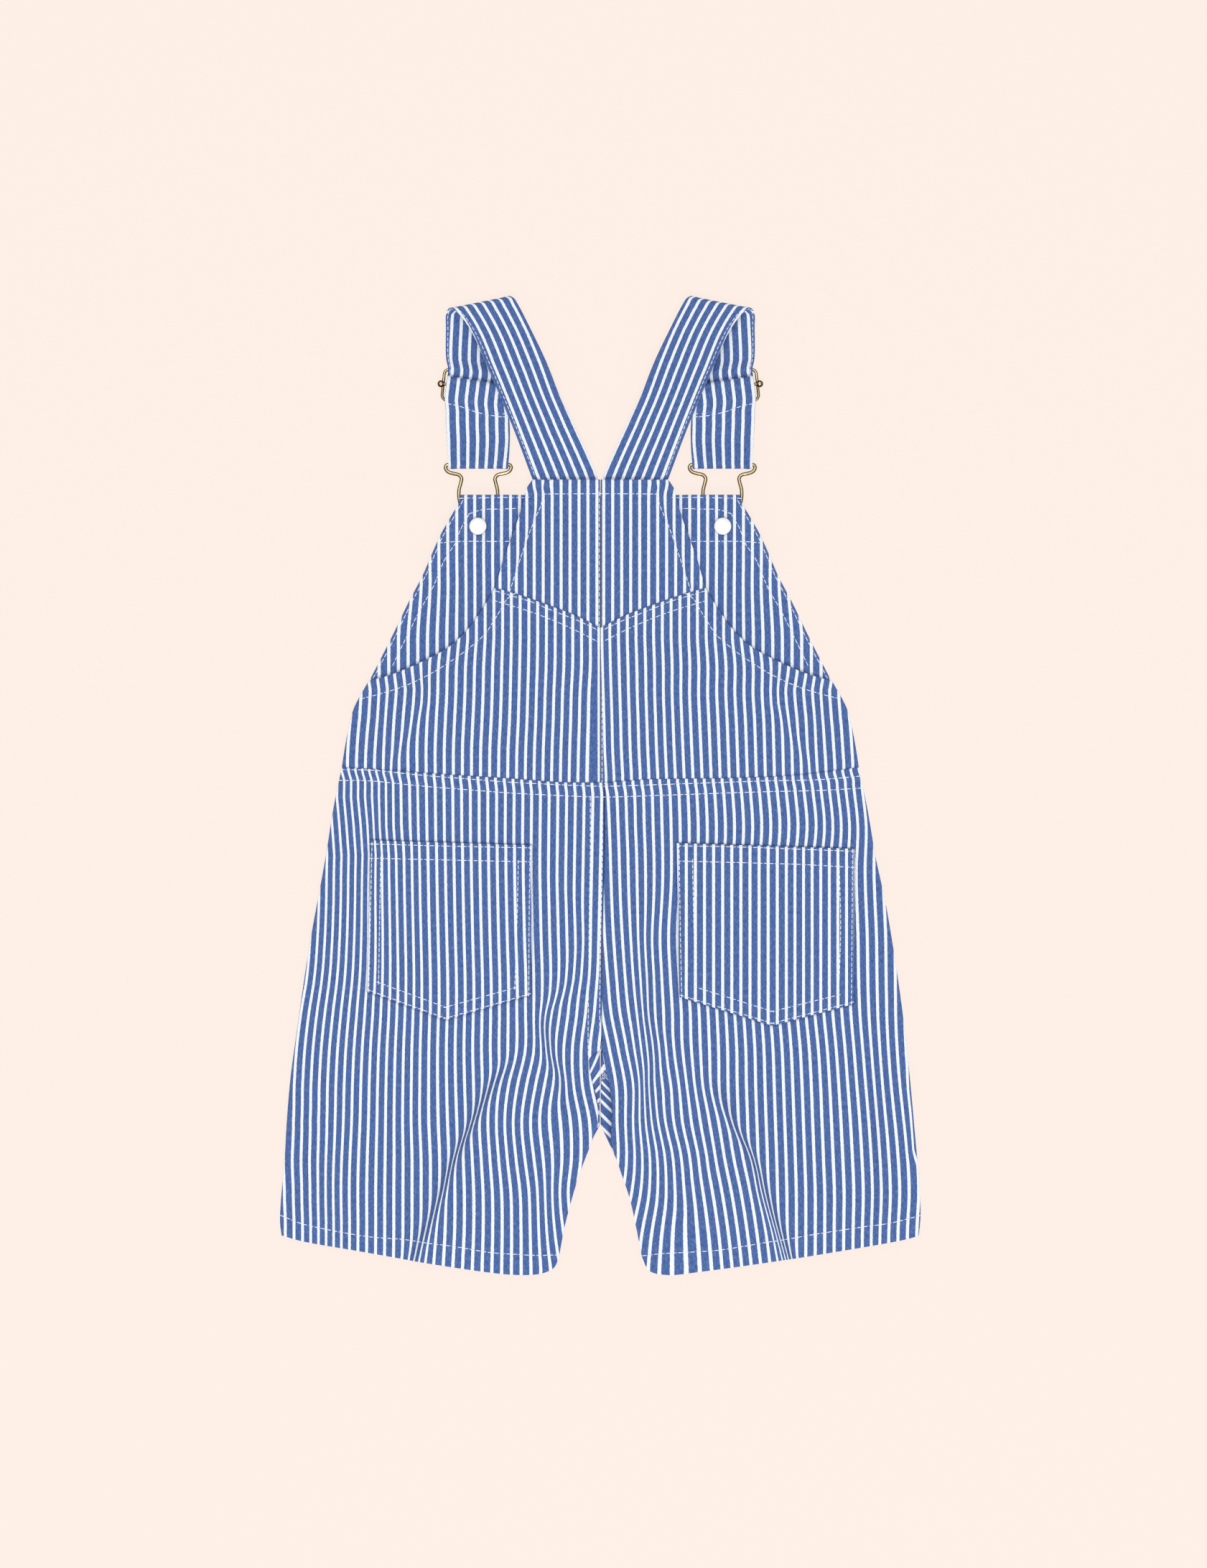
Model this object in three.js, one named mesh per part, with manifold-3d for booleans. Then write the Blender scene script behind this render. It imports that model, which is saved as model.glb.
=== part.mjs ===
import * as THREE from 'three';
import { mergeVertices } from 'three/addons/utils/BufferGeometryUtils.js';
import Module from 'manifold-3d';

const wasm = await Module();
wasm.setup();

// Striped shortalls for a small child, laid face down and flat, so that the back shows.
// Millimetres, +Z up. +X is the wearer's right, +Y runs towards the shoulder straps,
// and y = 0 is about the waist. The surface that they lie on is z = 0.

// The cloth and how its pieces meet
const CLOTH = 1.2;
const STRAP_CLOTH = 1.0;
const SEAM = 0.3;
const POCKET_GAP = 0.35;
const FRONT_INSET = 0.6;

// Heights of the main lines above and below the waist
const YOKE_TOP = 153;
const BIB_TOP = 145.4;
const SEAT_POINT = -170.6;
const HEM_LOWEST = -245.2;

// How far the back layer stands off the front one, and the width of its soft edge
const EDGE_GAP = 0.5;
const LOFT = 1.2;
const LOFT_EDGE = 14;
const CROWN = 0.6;
const CROWN_EDGE = 60;
const LEAST_CLEARANCE = 0.35;

// The wire buckle, its button and the adjuster slider, one set a side
const BUTTON = { x: 61.2, y: 129.6, headRadius: 8.5, headHeight: 2.4, shankRadius: 1.9 };
const TACK = { radius: 4.3, height: 1.8 };
const BUCKLE = { x: 61.1, barY: 160.8, wire: 1.8, barZ: 2.2, hookZ: 3.5 };
const SLIDER = { x: 61.2, y: 199.2, tilt: 6, halfWidth: 17.6, halfHeight: 7.7, wire: 1.5 };
const SLIDER_BAR = { z: 3.35, ball: 1.8, ballX: 18.7, ballZ: 2.3, sideRise: 1.25 };
const HOOK_SIDES = 6;

// The front bib is lifted over each buckle and button
const BUMP = { inner: 47, outer: 84, lower: 117, spread: 20 };
const BUMP_LIFT = BUCKLE.hookZ + BUCKLE.wire / 2 + SEAM;

// Half outlines above the waist, the same on both sides: half is the distance from the middle
const BIB_SIDE = [
  { half: 69.7, y: BIB_TOP },
  { half: 70.7, y: 141.8 },
  { half: 75.1, y: 133.9 },
  { half: 80.1, y: 125.0 },
  { half: 88.7, y: 105.8 },
  { half: 95.9, y: 92.2 },
  { half: 104.6, y: 74.2 },
  { half: 116.1, y: 51.8 },
];
const UNDERARM_SIDE = [
  { half: 116.1, y: 51.8 },
  { half: 123.3, y: 38.5 },
  { half: 125.8, y: 29.5 },
  { half: 128.0, y: 17.6 },
  { half: 129.4, y: 8.5 },
];
const YOKE_SIDE = [
  { half: 34.0, y: YOKE_TOP },
  { half: 36.9, y: 148.3 },
  { half: 39.1, y: 139.0 },
  { half: 43.4, y: 126.7 },
  { half: 47.7, y: 114.5 },
  { half: 52.7, y: 98.6 },
];
const YOKE_POINT_SEAM = [
  { half: 0, y: 78.5 },
  { half: 13.1, y: 85.0 },
  { half: 27.5, y: 90.4 },
  { half: 41.9, y: 95.4 },
  { half: 52.7, y: 98.6 },
];
const BACK_ARMHOLE = [
  { half: 52.7, y: 98.6 },
  { half: 59.2, y: 87.8 },
  { half: 67.1, y: 77.0 },
  { half: 76.1, y: 68.8 },
  { half: 88.7, y: 61.9 },
  { half: 103.9, y: 55.4 },
  { half: 116.1, y: 51.8 },
];

// The waist seam from the left side to the right, and the seat seam down from it
const WAIST_LEFT = [
  { x: -129.4, y: 8.5 },
  { x: -106.7, y: 7.2 },
  { x: -77.9, y: 5.0 },
  { x: -49.0, y: 3.2 },
  { x: -20.3, y: 1.1 },
  { x: 0, y: 0.9 },
];
const WAIST_RIGHT = [
  { x: 0, y: 0.9 },
  { x: 22.9, y: 2.4 },
  { x: 66.1, y: 3.2 },
  { x: 94.9, y: 4.4 },
  { x: 129.4, y: 8.5 },
];
const SEAT_SEAM = [
  { x: 2.0, y: 0.9 },
  { x: 1.8, y: -38.2 },
  { x: 1.1, y: -74.2 },
  { x: 0.7, y: -104.0 },
  { x: 0.7, y: -132.0 },
];

// Below the seat seam each back leg has its own inner edge, down to the corner of its hem
const CROTCH_LEFT = [
  { x: -5.6, y: -137.5 },
  { x: -4.7, y: -146.2 },
  { x: -1.8, y: -157.0 },
  { x: -1.4, y: -170.0 },
];
const CROTCH_RIGHT = [
  { x: 1.8, y: -139.0 },
  { x: 3.6, y: -146.2 },
  { x: 5.4, y: -157.0 },
  { x: 5.8, y: -167.8 },
  { x: 5.4, y: -178.0 },
];
const INNER_LEG_LEFT = [
  { x: -4.3, y: -178.6 },
  { x: -10.4, y: -194.8 },
  { x: -15.1, y: -210.2 },
  { x: -18.4, y: -223.6 },
  { x: -20.6, y: -236.0 },
];
const INNER_LEG_RIGHT = [
  { x: 9.4, y: -191.2 },
  { x: 14.8, y: -207.4 },
  { x: 18.0, y: -221.8 },
  { x: 20.8, y: -236.0 },
];

// Outer sides of the legs and the hems
const LEG_SIDE_LEFT = [
  { x: -129.4, y: 8.5 },
  { x: -133.2, y: -9.4 },
  { x: -137.9, y: -38.2 },
  { x: -145.8, y: -81.4 },
  { x: -151.9, y: -122.8 },
  { x: -155.5, y: -149.8 },
  { x: -158.4, y: -189.4 },
  { x: -160.4, y: -218.0 },
  { x: -159.6, y: -225.4 },
];
const LEG_SIDE_RIGHT = [
  { x: 129.4, y: 8.5 },
  { x: 133.9, y: -13.0 },
  { x: 137.9, y: -36.4 },
  { x: 143.3, y: -61.6 },
  { x: 151.6, y: -115.6 },
  { x: 157.3, y: -171.4 },
  { x: 160.4, y: -214.0 },
  { x: 159.5, y: -225.6 },
];
const HEM_LEFT = [
  { x: -159.6, y: -225.4 },
  { x: -149.8, y: -228.2 },
  { x: -121.0, y: -233.3 },
  { x: -70.6, y: -241.9 },
  { x: -41.8, y: HEM_LOWEST },
  { x: -29.2, y: -244.4 },
  { x: -23.2, y: -241.6 },
  { x: -20.6, y: -236.0 },
];
const HEM_RIGHT = [
  { x: 159.5, y: -225.6 },
  { x: 152.6, y: -227.5 },
  { x: 102.2, y: -236.2 },
  { x: 51.8, y: -243.4 },
  { x: 33.0, y: HEM_LOWEST },
  { x: 24.4, y: -243.0 },
  { x: 20.8, y: -236.0 },
];

// Patch pockets: both top corners, both lower corners and the point
const POCKET_LEFT = {
  topOuter: { x: -114.8, y: -27.4 },
  topInner: { x: -34.2, y: -29.9 },
  lowOuter: { x: -116.6, y: -103.0 },
  lowInner: { x: -34.9, y: -104.8 },
  point: { x: -77.4, y: -117.4 },
};
const POCKET_RIGHT = {
  topOuter: { x: 127.1, y: -31.7 },
  topInner: { x: 38.2, y: -28.8 },
  lowOuter: { x: 126.7, y: -109.4 },
  lowInner: { x: 39.6, y: -105.8 },
  point: { x: 86.0, y: -120.2 },
};

// Folds of the back layer: each runs from one point past a bend to another.
// half is the distance at which it has died away to a third, rise its height.
const FOLDS = [
  { x0: -40, y0: -134, x1: -66, y1: -176, x2: -90, y2: -238, half: 9, rise: 2.0 },
  { x0: -52, y0: -136, x1: -78, y1: -176, x2: -103, y2: -236, half: 7, rise: -1.2 },
  { x0: -14, y0: -120, x1: -22, y1: -146, x2: -30, y2: -178, half: 6, rise: 1.1 },
  { x0: -24, y0: -116, x1: -36, y1: -142, x2: -44, y2: -172, half: 6, rise: 0.9 },
  { x0: 60, y0: -146, x1: 78, y1: -182, x2: 100, y2: -236, half: 9, rise: 2.0 },
  { x0: 48, y0: -146, x1: 64, y1: -182, x2: 86, y2: -240, half: 7, rise: -1.2 },
  { x0: 14, y0: -136, x1: 22, y1: -160, x2: 34, y2: -196, half: 7, rise: 1.0 },
  { x0: 134, y0: -126, x1: 144, y1: -172, x2: 143, y2: -222, half: 7, rise: 1.2 },
  { x0: -136, y0: -120, x1: -141, y1: -168, x2: -146, y2: -218, half: 7, rise: 0.8 },
  { x0: -84, y0: 60, x1: -92, y1: 34, x2: -106, y2: 10, half: 8, rise: 1.4 },
  { x0: 84, y0: 60, x1: 92, y1: 34, x2: 106, y2: 10, half: 8, rise: 1.4 },
];

// Half outline of the wire buckle, from the middle of its bar down to its narrow end
const BUCKLE_HALF = [
  { half: 0, y: 160.8 },
  { half: 8.0, y: 160.8 },
  { half: 14.6, y: 160.8 },
  { half: 16.1, y: 160.2 },
  { half: 16.4, y: 158.9 },
  { half: 15.3, y: 157.2 },
  { half: 12.6, y: 156.2 },
  { half: 9.6, y: 155.4 },
  { half: 8.4, y: 153.8 },
  { half: 8.8, y: 151.2 },
  { half: 9.6, y: 148.0 },
  { half: 9.6, y: 144.0 },
  { half: 8.6, y: 139.6 },
  { half: 5.8, y: 134.4 },
  { half: 3.7, y: 131.2 },
  { half: 3.5, y: 128.4 },
  { half: 2.2, y: 126.2 },
  { half: 0, y: 125.4 },
];

// The left strap's free part: both edges, and the height of the middle of the cloth there
const STRAP_BACK = [
  { outerX: -41.8, outerY: 174.2, outerZ: 4.8, innerX: -13.0, innerY: 180.4, innerZ: 4.0 },
  { outerX: -49.0, outerY: 191.9, outerZ: 6.4, innerX: -20.2, innerY: 195.1, innerZ: 5.0 },
  { outerX: -56.2, outerY: 208.8, outerZ: 5.9, innerX: -27.4, innerY: 212.8, innerZ: 4.8 },
  { outerX: -64.4, outerY: 227.0, outerZ: 4.8, innerX: -34.6, innerY: 227.9, innerZ: 4.6 },
];
const STRAP_FOLD = [
  { outerX: -70.8, outerY: 236.0, outerZ: 4.3, innerX: -42.4, innerY: 242.6, innerZ: 4.4 },
  { outerX: -74.0, outerY: 238.4, outerZ: 3.6, innerX: -43.6, innerY: 244.8, innerZ: 3.6 },
  { outerX: -76.4, outerY: 238.2, outerZ: 2.3, innerX: -44.6, innerY: 245.0, innerZ: 2.3 },
  { outerX: -77.4, outerY: 235.6, outerZ: 1.0, innerX: -45.0, innerY: 242.4, innerZ: 1.0 },
  { outerX: -77.4, outerY: 230.0, outerZ: 0.5, innerX: -45.0, innerY: 236.0, innerZ: 0.5 },
];
const STRAP_SEWN_DEPTH = 5;
const STRAP_TUCK = 0.9;
const OUTER_DROP = 0.5;
const STRAP_SLIDER_HALF = 15.9;
const STRAP_LOOP_HALF = 15.0;
const STRAP_LINE = { x: 61.5, reach: 4.5 };
const TURN_STEPS = 4;

// Heights of the strap's three layers along it. along is measured from the slider's bar.
const UNDER_SLIDER = [
  { along: 13.5, z: 0.7 },
  { along: 7.7, z: 2.35 },
  { along: 3.9, z: 1.15 },
  { along: 0, z: 0.5 },
  { along: -3.9, z: 1.15 },
  { along: -7.7, z: 2.35 },
  { along: -12.5, z: 1.0 },
];
const OVER_SLIDER = [
  { along: -18.0, z: 3.3 },
  { along: -13.0, z: 4.6 },
  { along: -7.7, z: 4.95 },
];
const SEWN_BACK_END = [
  { along: -3.9, z: 2.5 },
  { along: -7.7, z: 3.6 },
  { along: -11.8, z: 3.0 },
];
const BAR_TURN = { outer: 3.6, inner: 2.2, rise: 1.55 };

// Finishes
const STRIPED_TWILL = 0x7f9bca;
const BRASS_WIRE = 0xb99a5f;
const WHITE_ENAMEL = 0xf6f5f1;

const garment = new THREE.Group();

function addPiece(name, geometry, color, metalness) {
  const material = new THREE.MeshStandardMaterial({ color, roughness: metalness ? 0.35 : 0.9, metalness });
  const mesh = new THREE.Mesh(geometry, material);
  mesh.name = name;
  garment.add(mesh);
}

function smooth(t) {
  const s = Math.min(Math.max(t, 0), 1);
  return s * s * (3 - 2 * s);
}

// Curves through table rows

function curveThrough(points) {
  return new THREE.CatmullRomCurve3(points, false, 'centripetal');
}

function flatCurve(rows, side = 1) {
  const points = rows.map((row) => new THREE.Vector3(row.half === undefined ? row.x : side * row.half, row.y, 0));
  const curve = curveThrough(points);
  return (t) => curve.getPointAt(t);
}

function moved(curve, dx, dy) {
  return (t) => curve(t).add(new THREE.Vector3(dx, dy, 0));
}

function joined(first, second, share) {
  return (t) => (t < share ? first(t / share) : second((t - share) / (1 - share)));
}

function straight(from, to) {
  const start = new THREE.Vector3(from.x, from.y, 0);
  const end = new THREE.Vector3(to.x, to.y, 0);
  return (t) => start.clone().lerp(end, t);
}

// A panel is spanned between its four edges: u runs across it and v down it.
// Its left and right edges are shifted a little to meet the ends of its top and bottom ones.
function spanned({ top, bottom, left, right }) {
  const meeting = (edge, start, end) => (v) => edge(v)
    .addScaledVector(start.clone().sub(edge(0)), 1 - v)
    .addScaledVector(end.clone().sub(edge(1)), v);
  const leftEdge = meeting(left, top(0), bottom(0));
  const rightEdge = meeting(right, top(1), bottom(1));
  return (u, v) => {
    const point = top(u).multiplyScalar(1 - v).addScaledVector(bottom(u), v);
    point.addScaledVector(leftEdge(v), 1 - u).addScaledVector(rightEdge(v), u);
    point.addScaledVector(top(0), -(1 - u) * (1 - v)).addScaledVector(top(1), -u * (1 - v));
    return point.addScaledVector(bottom(0), -(1 - u) * v).addScaledVector(bottom(1), -u * v);
  };
}

// Heights of the layers

function frontUnder(x, y) {
  const across = Math.max(BUMP.inner - Math.abs(x), Math.abs(x) - BUMP.outer, 0);
  const down = Math.max(BUMP.lower - y, 0);
  return BUMP_LIFT * (1 - smooth(Math.hypot(across, down) / BUMP.spread));
}

const OUTLINE_STEPS = 24;
const outlineCurves = [
  flatCurve(LEG_SIDE_LEFT),
  flatCurve(LEG_SIDE_RIGHT),
  flatCurve(HEM_LEFT),
  flatCurve(HEM_RIGHT),
  flatCurve([...CROTCH_LEFT, ...INNER_LEG_LEFT]),
  flatCurve([...CROTCH_RIGHT, ...INNER_LEG_RIGHT]),
  ...[-1, 1].flatMap((side) => [UNDERARM_SIDE, BACK_ARMHOLE, YOKE_SIDE].map((rows) => flatCurve(rows, side))),
];
const outlineChains = outlineCurves.map((curve) => chainOf(curve, OUTLINE_STEPS));

function chainOf(curve, steps) {
  return Array.from({ length: steps + 1 }, (_, i) => curve(i / steps));
}

function distanceToChain(x, y, chain) {
  const point = new THREE.Vector3(x, y, 0);
  const nearest = new THREE.Vector3();
  const segment = new THREE.Line3();
  let least = Infinity;
  for (let i = 1; i < chain.length; i += 1) {
    segment.set(chain[i - 1], chain[i]).closestPointToPoint(point, true, nearest);
    least = Math.min(least, nearest.distanceTo(point));
  }
  return least;
}

const FOLD_STEPS = 10;
const FADE_SHARE = 0.22;
const foldCurves = FOLDS.map((fold) => {
  const bend = new THREE.QuadraticBezierCurve3(
    new THREE.Vector3(fold.x0, fold.y0, 0),
    new THREE.Vector3(fold.x1, fold.y1, 0),
    new THREE.Vector3(fold.x2, fold.y2, 0),
  );
  return { ...fold, chain: bend.getPoints(FOLD_STEPS) };
});

function foldHeight(x, y) {
  let height = 0;
  for (const fold of foldCurves) {
    const run = (fold.y0 - y) / (fold.y0 - fold.y2);
    const ends = smooth(run / FADE_SHARE) * smooth((1 - run) / FADE_SHARE + 0.4);
    const away = distanceToChain(x, y, fold.chain) / fold.half;
    height += fold.rise * ends * Math.exp(-away * away);
  }
  return height;
}

function backUnder(x, y) {
  const inside = Math.min(...outlineChains.map((chain) => distanceToChain(x, y, chain)));
  const lying = frontUnder(x, y) + CLOTH;
  const loft = LOFT * smooth(inside / LOFT_EDGE) + CROWN * smooth(inside / CROWN_EDGE);
  const tuck = smooth((y - (YOKE_TOP - 16)) / 10);
  return lying + Math.max(EDGE_GAP + loft + tuck + foldHeight(x, y), LEAST_CLEARANCE);
}

function backTop(x, y) {
  return backUnder(x, y) + CLOTH;
}

// Closed bodies from grids of points

function signedVolume(positions, index) {
  const corner = (i) => new THREE.Vector3().fromArray(positions, 3 * index[i]);
  let total = 0;
  for (let i = 0; i < index.length; i += 3) {
    total += corner(i).dot(corner(i + 1).cross(corner(i + 2)));
  }
  return total / 6;
}

function bodyOf(points, index) {
  const positions = points.flatMap((point) => point.toArray());
  if (signedVolume(positions, index) < 0) {
    index.reverse();
  }
  const geometry = new THREE.BufferGeometry();
  geometry.setAttribute('position', new THREE.Float32BufferAttribute(positions, 3));
  geometry.setIndex(index);
  geometry.computeVertexNormals();
  return geometry;
}

// A wall between a lower and an upper grid, closed all round by its rim
function wallBody(columns, rows, lower, upper) {
  const points = [...lower, ...upper];
  const second = lower.length;
  const index = [];
  const id = (i, j) => j * (columns + 1) + i;
  const quad = (a, b, c, d) => index.push(a, b, c, a, c, d);
  for (let j = 0; j < rows; j += 1) {
    for (let i = 0; i < columns; i += 1) {
      quad(id(i, j), id(i + 1, j), id(i + 1, j + 1), id(i, j + 1));
      index.push(second + id(i, j), second + id(i + 1, j + 1), second + id(i + 1, j));
      index.push(second + id(i, j), second + id(i, j + 1), second + id(i + 1, j + 1));
    }
  }
  const rim = [];
  for (let i = 0; i < columns; i += 1) rim.push(id(i, 0));
  for (let j = 0; j < rows; j += 1) rim.push(id(columns, j));
  for (let i = columns; i > 0; i -= 1) rim.push(id(i, rows));
  for (let j = rows; j > 0; j -= 1) rim.push(id(0, j));
  rim.forEach((here, k) => {
    const next = rim[(k + 1) % rim.length];
    quad(next, here, second + here, second + next);
  });
  return bodyOf(points, index);
}

function clothPanel(columns, rows, place, underside, thickness, rowSpacing = 1) {
  const lower = [];
  const upper = [];
  for (let j = 0; j <= rows; j += 1) {
    for (let i = 0; i <= columns; i += 1) {
      const point = place(i / columns, (j / rows) ** rowSpacing);
      const z = underside(point.x, point.y);
      lower.push(new THREE.Vector3(point.x, point.y, z));
      upper.push(new THREE.Vector3(point.x, point.y, z + thickness));
    }
  }
  return wallBody(columns, rows, lower, upper);
}

// A wire: rings round each point of its path, closed on itself
function closedWire(path, diameter, sides) {
  const up = new THREE.Vector3(0, 0, 1);
  const points = [];
  path.forEach((here, k) => {
    const before = path[(k + path.length - 1) % path.length];
    const after = path[(k + 1) % path.length];
    const along = after.clone().sub(before).normalize();
    const out = along.clone().cross(up).normalize();
    const rise = out.clone().cross(along);
    for (let s = 0; s < sides; s += 1) {
      const angle = ((s + 0.5) / sides) * 2 * Math.PI;
      const ring = here.clone().addScaledVector(out, (diameter / 2) * Math.cos(angle));
      points.push(ring.addScaledVector(rise, (diameter / 2) * Math.sin(angle)));
    }
  });
  const index = [];
  path.forEach((_, k) => {
    const next = (k + 1) % path.length;
    for (let s = 0; s < sides; s += 1) {
      const turn = (s + 1) % sides;
      const a = k * sides + s;
      const b = next * sides + s;
      const c = next * sides + turn;
      const d = k * sides + turn;
      index.push(a, b, c, a, c, d);
    }
  });
  return bodyOf(points, index);
}

function toManifold(geometry) {
  const bare = new THREE.BufferGeometry();
  bare.setAttribute('position', geometry.getAttribute('position').clone());
  bare.setIndex(geometry.getIndex());
  const merged = mergeVertices(bare);
  return new wasm.Manifold(new wasm.Mesh({
    numProp: 3,
    vertProperties: Float32Array.from(merged.getAttribute('position').array),
    triVerts: Uint32Array.from(merged.getIndex().array),
  }));
}

function fromManifold(solid) {
  const { vertProperties, triVerts } = solid.getMesh();
  const geometry = new THREE.BufferGeometry();
  geometry.setAttribute('position', new THREE.Float32BufferAttribute(Array.from(vertProperties), 3));
  geometry.setIndex(Array.from(triVerts));
  geometry.computeVertexNormals();
  return geometry;
}

// Front panels, face down on the surface

function addFront() {
  const waist = joined(flatCurve(WAIST_LEFT), flatCurve(WAIST_RIGHT), 0.5);
  const bibSides = [-1, 1].map((side) => flatCurve([...BIB_SIDE, ...UNDERARM_SIDE.slice(1)], side));
  const bib = spanned({
    top: straight({ x: -BIB_SIDE[0].half, y: BIB_TOP }, { x: BIB_SIDE[0].half, y: BIB_TOP }),
    bottom: moved(waist, 0, SEAM / 2),
    left: bibSides[0],
    right: bibSides[1],
  });
  addPiece('front_bib', clothPanel(20, 14, bib, frontUnder, CLOTH, 1.2), STRIPED_TWILL, 0);

  const legs = [
    { name: 'front_leg_left', side: -1, outer: LEG_SIDE_LEFT, hem: HEM_LEFT, inner: INNER_LEG_LEFT, top: WAIST_LEFT },
    { name: 'front_leg_right', side: 1, outer: LEG_SIDE_RIGHT, hem: HEM_RIGHT, inner: INNER_LEG_RIGHT,
      top: [...WAIST_RIGHT].reverse() },
  ];
  for (const leg of legs) {
    const centre = (leg.side * SEAM) / 2;
    const rise = straight({ x: centre, y: WAIST_LEFT.at(-1).y }, { x: centre, y: SEAT_POINT });
    const inner = flatCurve([{ x: centre, y: SEAT_POINT }, ...leg.inner]);
    const place = spanned({
      top: moved(flatCurve(leg.top), centre, -SEAM / 2),
      bottom: moved(flatCurve(leg.hem), 0, FRONT_INSET),
      left: moved(flatCurve(leg.outer), -leg.side * FRONT_INSET, 0),
      right: joined(rise, inner, 5 / 7),
    });
    addPiece(leg.name, clothPanel(10, 14, place, () => 0, CLOTH), STRIPED_TWILL, 0);
  }
}

// Back legs and their pockets

function addBackLegs() {
  const legs = [
    { name: 'left', side: -1, outer: LEG_SIDE_LEFT, hem: HEM_LEFT, crotch: CROTCH_LEFT, inner: INNER_LEG_LEFT,
      top: WAIST_LEFT, pocket: POCKET_LEFT },
    { name: 'right', side: 1, outer: LEG_SIDE_RIGHT, hem: HEM_RIGHT, crotch: CROTCH_RIGHT, inner: INNER_LEG_RIGHT,
      top: [...WAIST_RIGHT].reverse(), pocket: POCKET_RIGHT },
  ];
  for (const leg of legs) {
    const apart = (leg.side * SEAM) / 2;
    const seat = SEAT_SEAM.map((row) => ({ x: row.x + apart, y: row.y }));
    const topEnd = { x: SEAT_SEAM[0].x + apart, y: SEAT_SEAM[0].y };
    const place = spanned({
      top: moved(flatCurve([...leg.top.slice(0, -1), topEnd]), 0, -SEAM / 2),
      bottom: flatCurve(leg.hem),
      left: flatCurve(leg.outer),
      right: joined(flatCurve(seat), flatCurve([seat.at(-1), ...leg.crotch, ...leg.inner]), 13 / 24),
    });
    addPiece(`back_leg_${leg.name}`, clothPanel(18, 24, place, backUnder, CLOTH), STRIPED_TWILL, 0);
    addPocket(`back_pocket_${leg.name}`, leg.pocket);
  }
}

function addPocket(name, pocket) {
  const place = spanned({
    top: straight(pocket.topOuter, pocket.topInner),
    bottom: joined(straight(pocket.lowOuter, pocket.point), straight(pocket.point, pocket.lowInner), 0.5),
    left: straight(pocket.topOuter, pocket.lowOuter),
    right: straight(pocket.topInner, pocket.lowInner),
  });
  const underside = (x, y) => backTop(x, y) + POCKET_GAP;
  addPiece(name, clothPanel(8, 8, place, underside, STRAP_CLOTH), STRIPED_TWILL, 0);
}

// Back bib and yoke, in halves that meet at the centre seam

function addBackTop() {
  for (const [name, side] of [['left', -1], ['right', 1]]) {
    const centre = (side * SEAM) / 2;
    const seam = flatCurve(YOKE_POINT_SEAM, side);
    const waist = side < 0 ? [...WAIST_LEFT].reverse() : WAIST_RIGHT;
    const bib = spanned({
      top: joined(moved(seam, centre, -SEAM / 2), moved(flatCurve(BACK_ARMHOLE, side), 0, -SEAM / 2), 0.4),
      bottom: moved(flatCurve(waist), centre, SEAM / 2),
      left: straight({ x: centre, y: 78.5 }, { x: centre, y: 0.9 }),
      right: flatCurve(UNDERARM_SIDE, side),
    });
    addPiece(`back_bib_${name}`, clothPanel(15, 12, bib, backUnder, CLOTH), STRIPED_TWILL, 0);

    const yoke = spanned({
      top: straight({ x: centre, y: YOKE_TOP }, { x: side * YOKE_SIDE[0].half, y: YOKE_TOP }),
      bottom: moved(seam, centre, SEAM / 2),
      left: straight({ x: centre, y: YOKE_TOP }, { x: centre, y: 78.5 }),
      right: flatCurve(YOKE_SIDE, side),
    });
    addPiece(`back_yoke_${name}`, clothPanel(7, 10, yoke, backUnder, CLOTH), STRIPED_TWILL, 0);
  }
}

// One strap each side, all in one length: sewn under the yoke, over the shoulder fold, down through
// the slider, round the buckle's bar, and back up to the slider's bar, where its end is sewn down

function sliderRow(along, half, z) {
  const tilt = THREE.MathUtils.degToRad(-SLIDER.tilt);
  const across = new THREE.Vector3(Math.cos(tilt), Math.sin(tilt), 0);
  const up = new THREE.Vector3(-Math.sin(tilt), Math.cos(tilt), 0);
  const middle = new THREE.Vector3(-SLIDER.x, SLIDER.y, z).addScaledVector(up, along);
  const free = smooth((Math.abs(along) - SLIDER.halfHeight) / STRAP_LINE.reach);
  middle.x = THREE.MathUtils.lerp(middle.x, -STRAP_LINE.x, free);
  return {
    outer: middle.clone().addScaledVector(across, -half),
    inner: middle.clone().addScaledVector(across, half),
  };
}

function levelRow(y, half, z) {
  return { outer: new THREE.Vector3(-BUCKLE.x - half, y, z), inner: new THREE.Vector3(-BUCKLE.x + half, y, z) };
}

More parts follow.
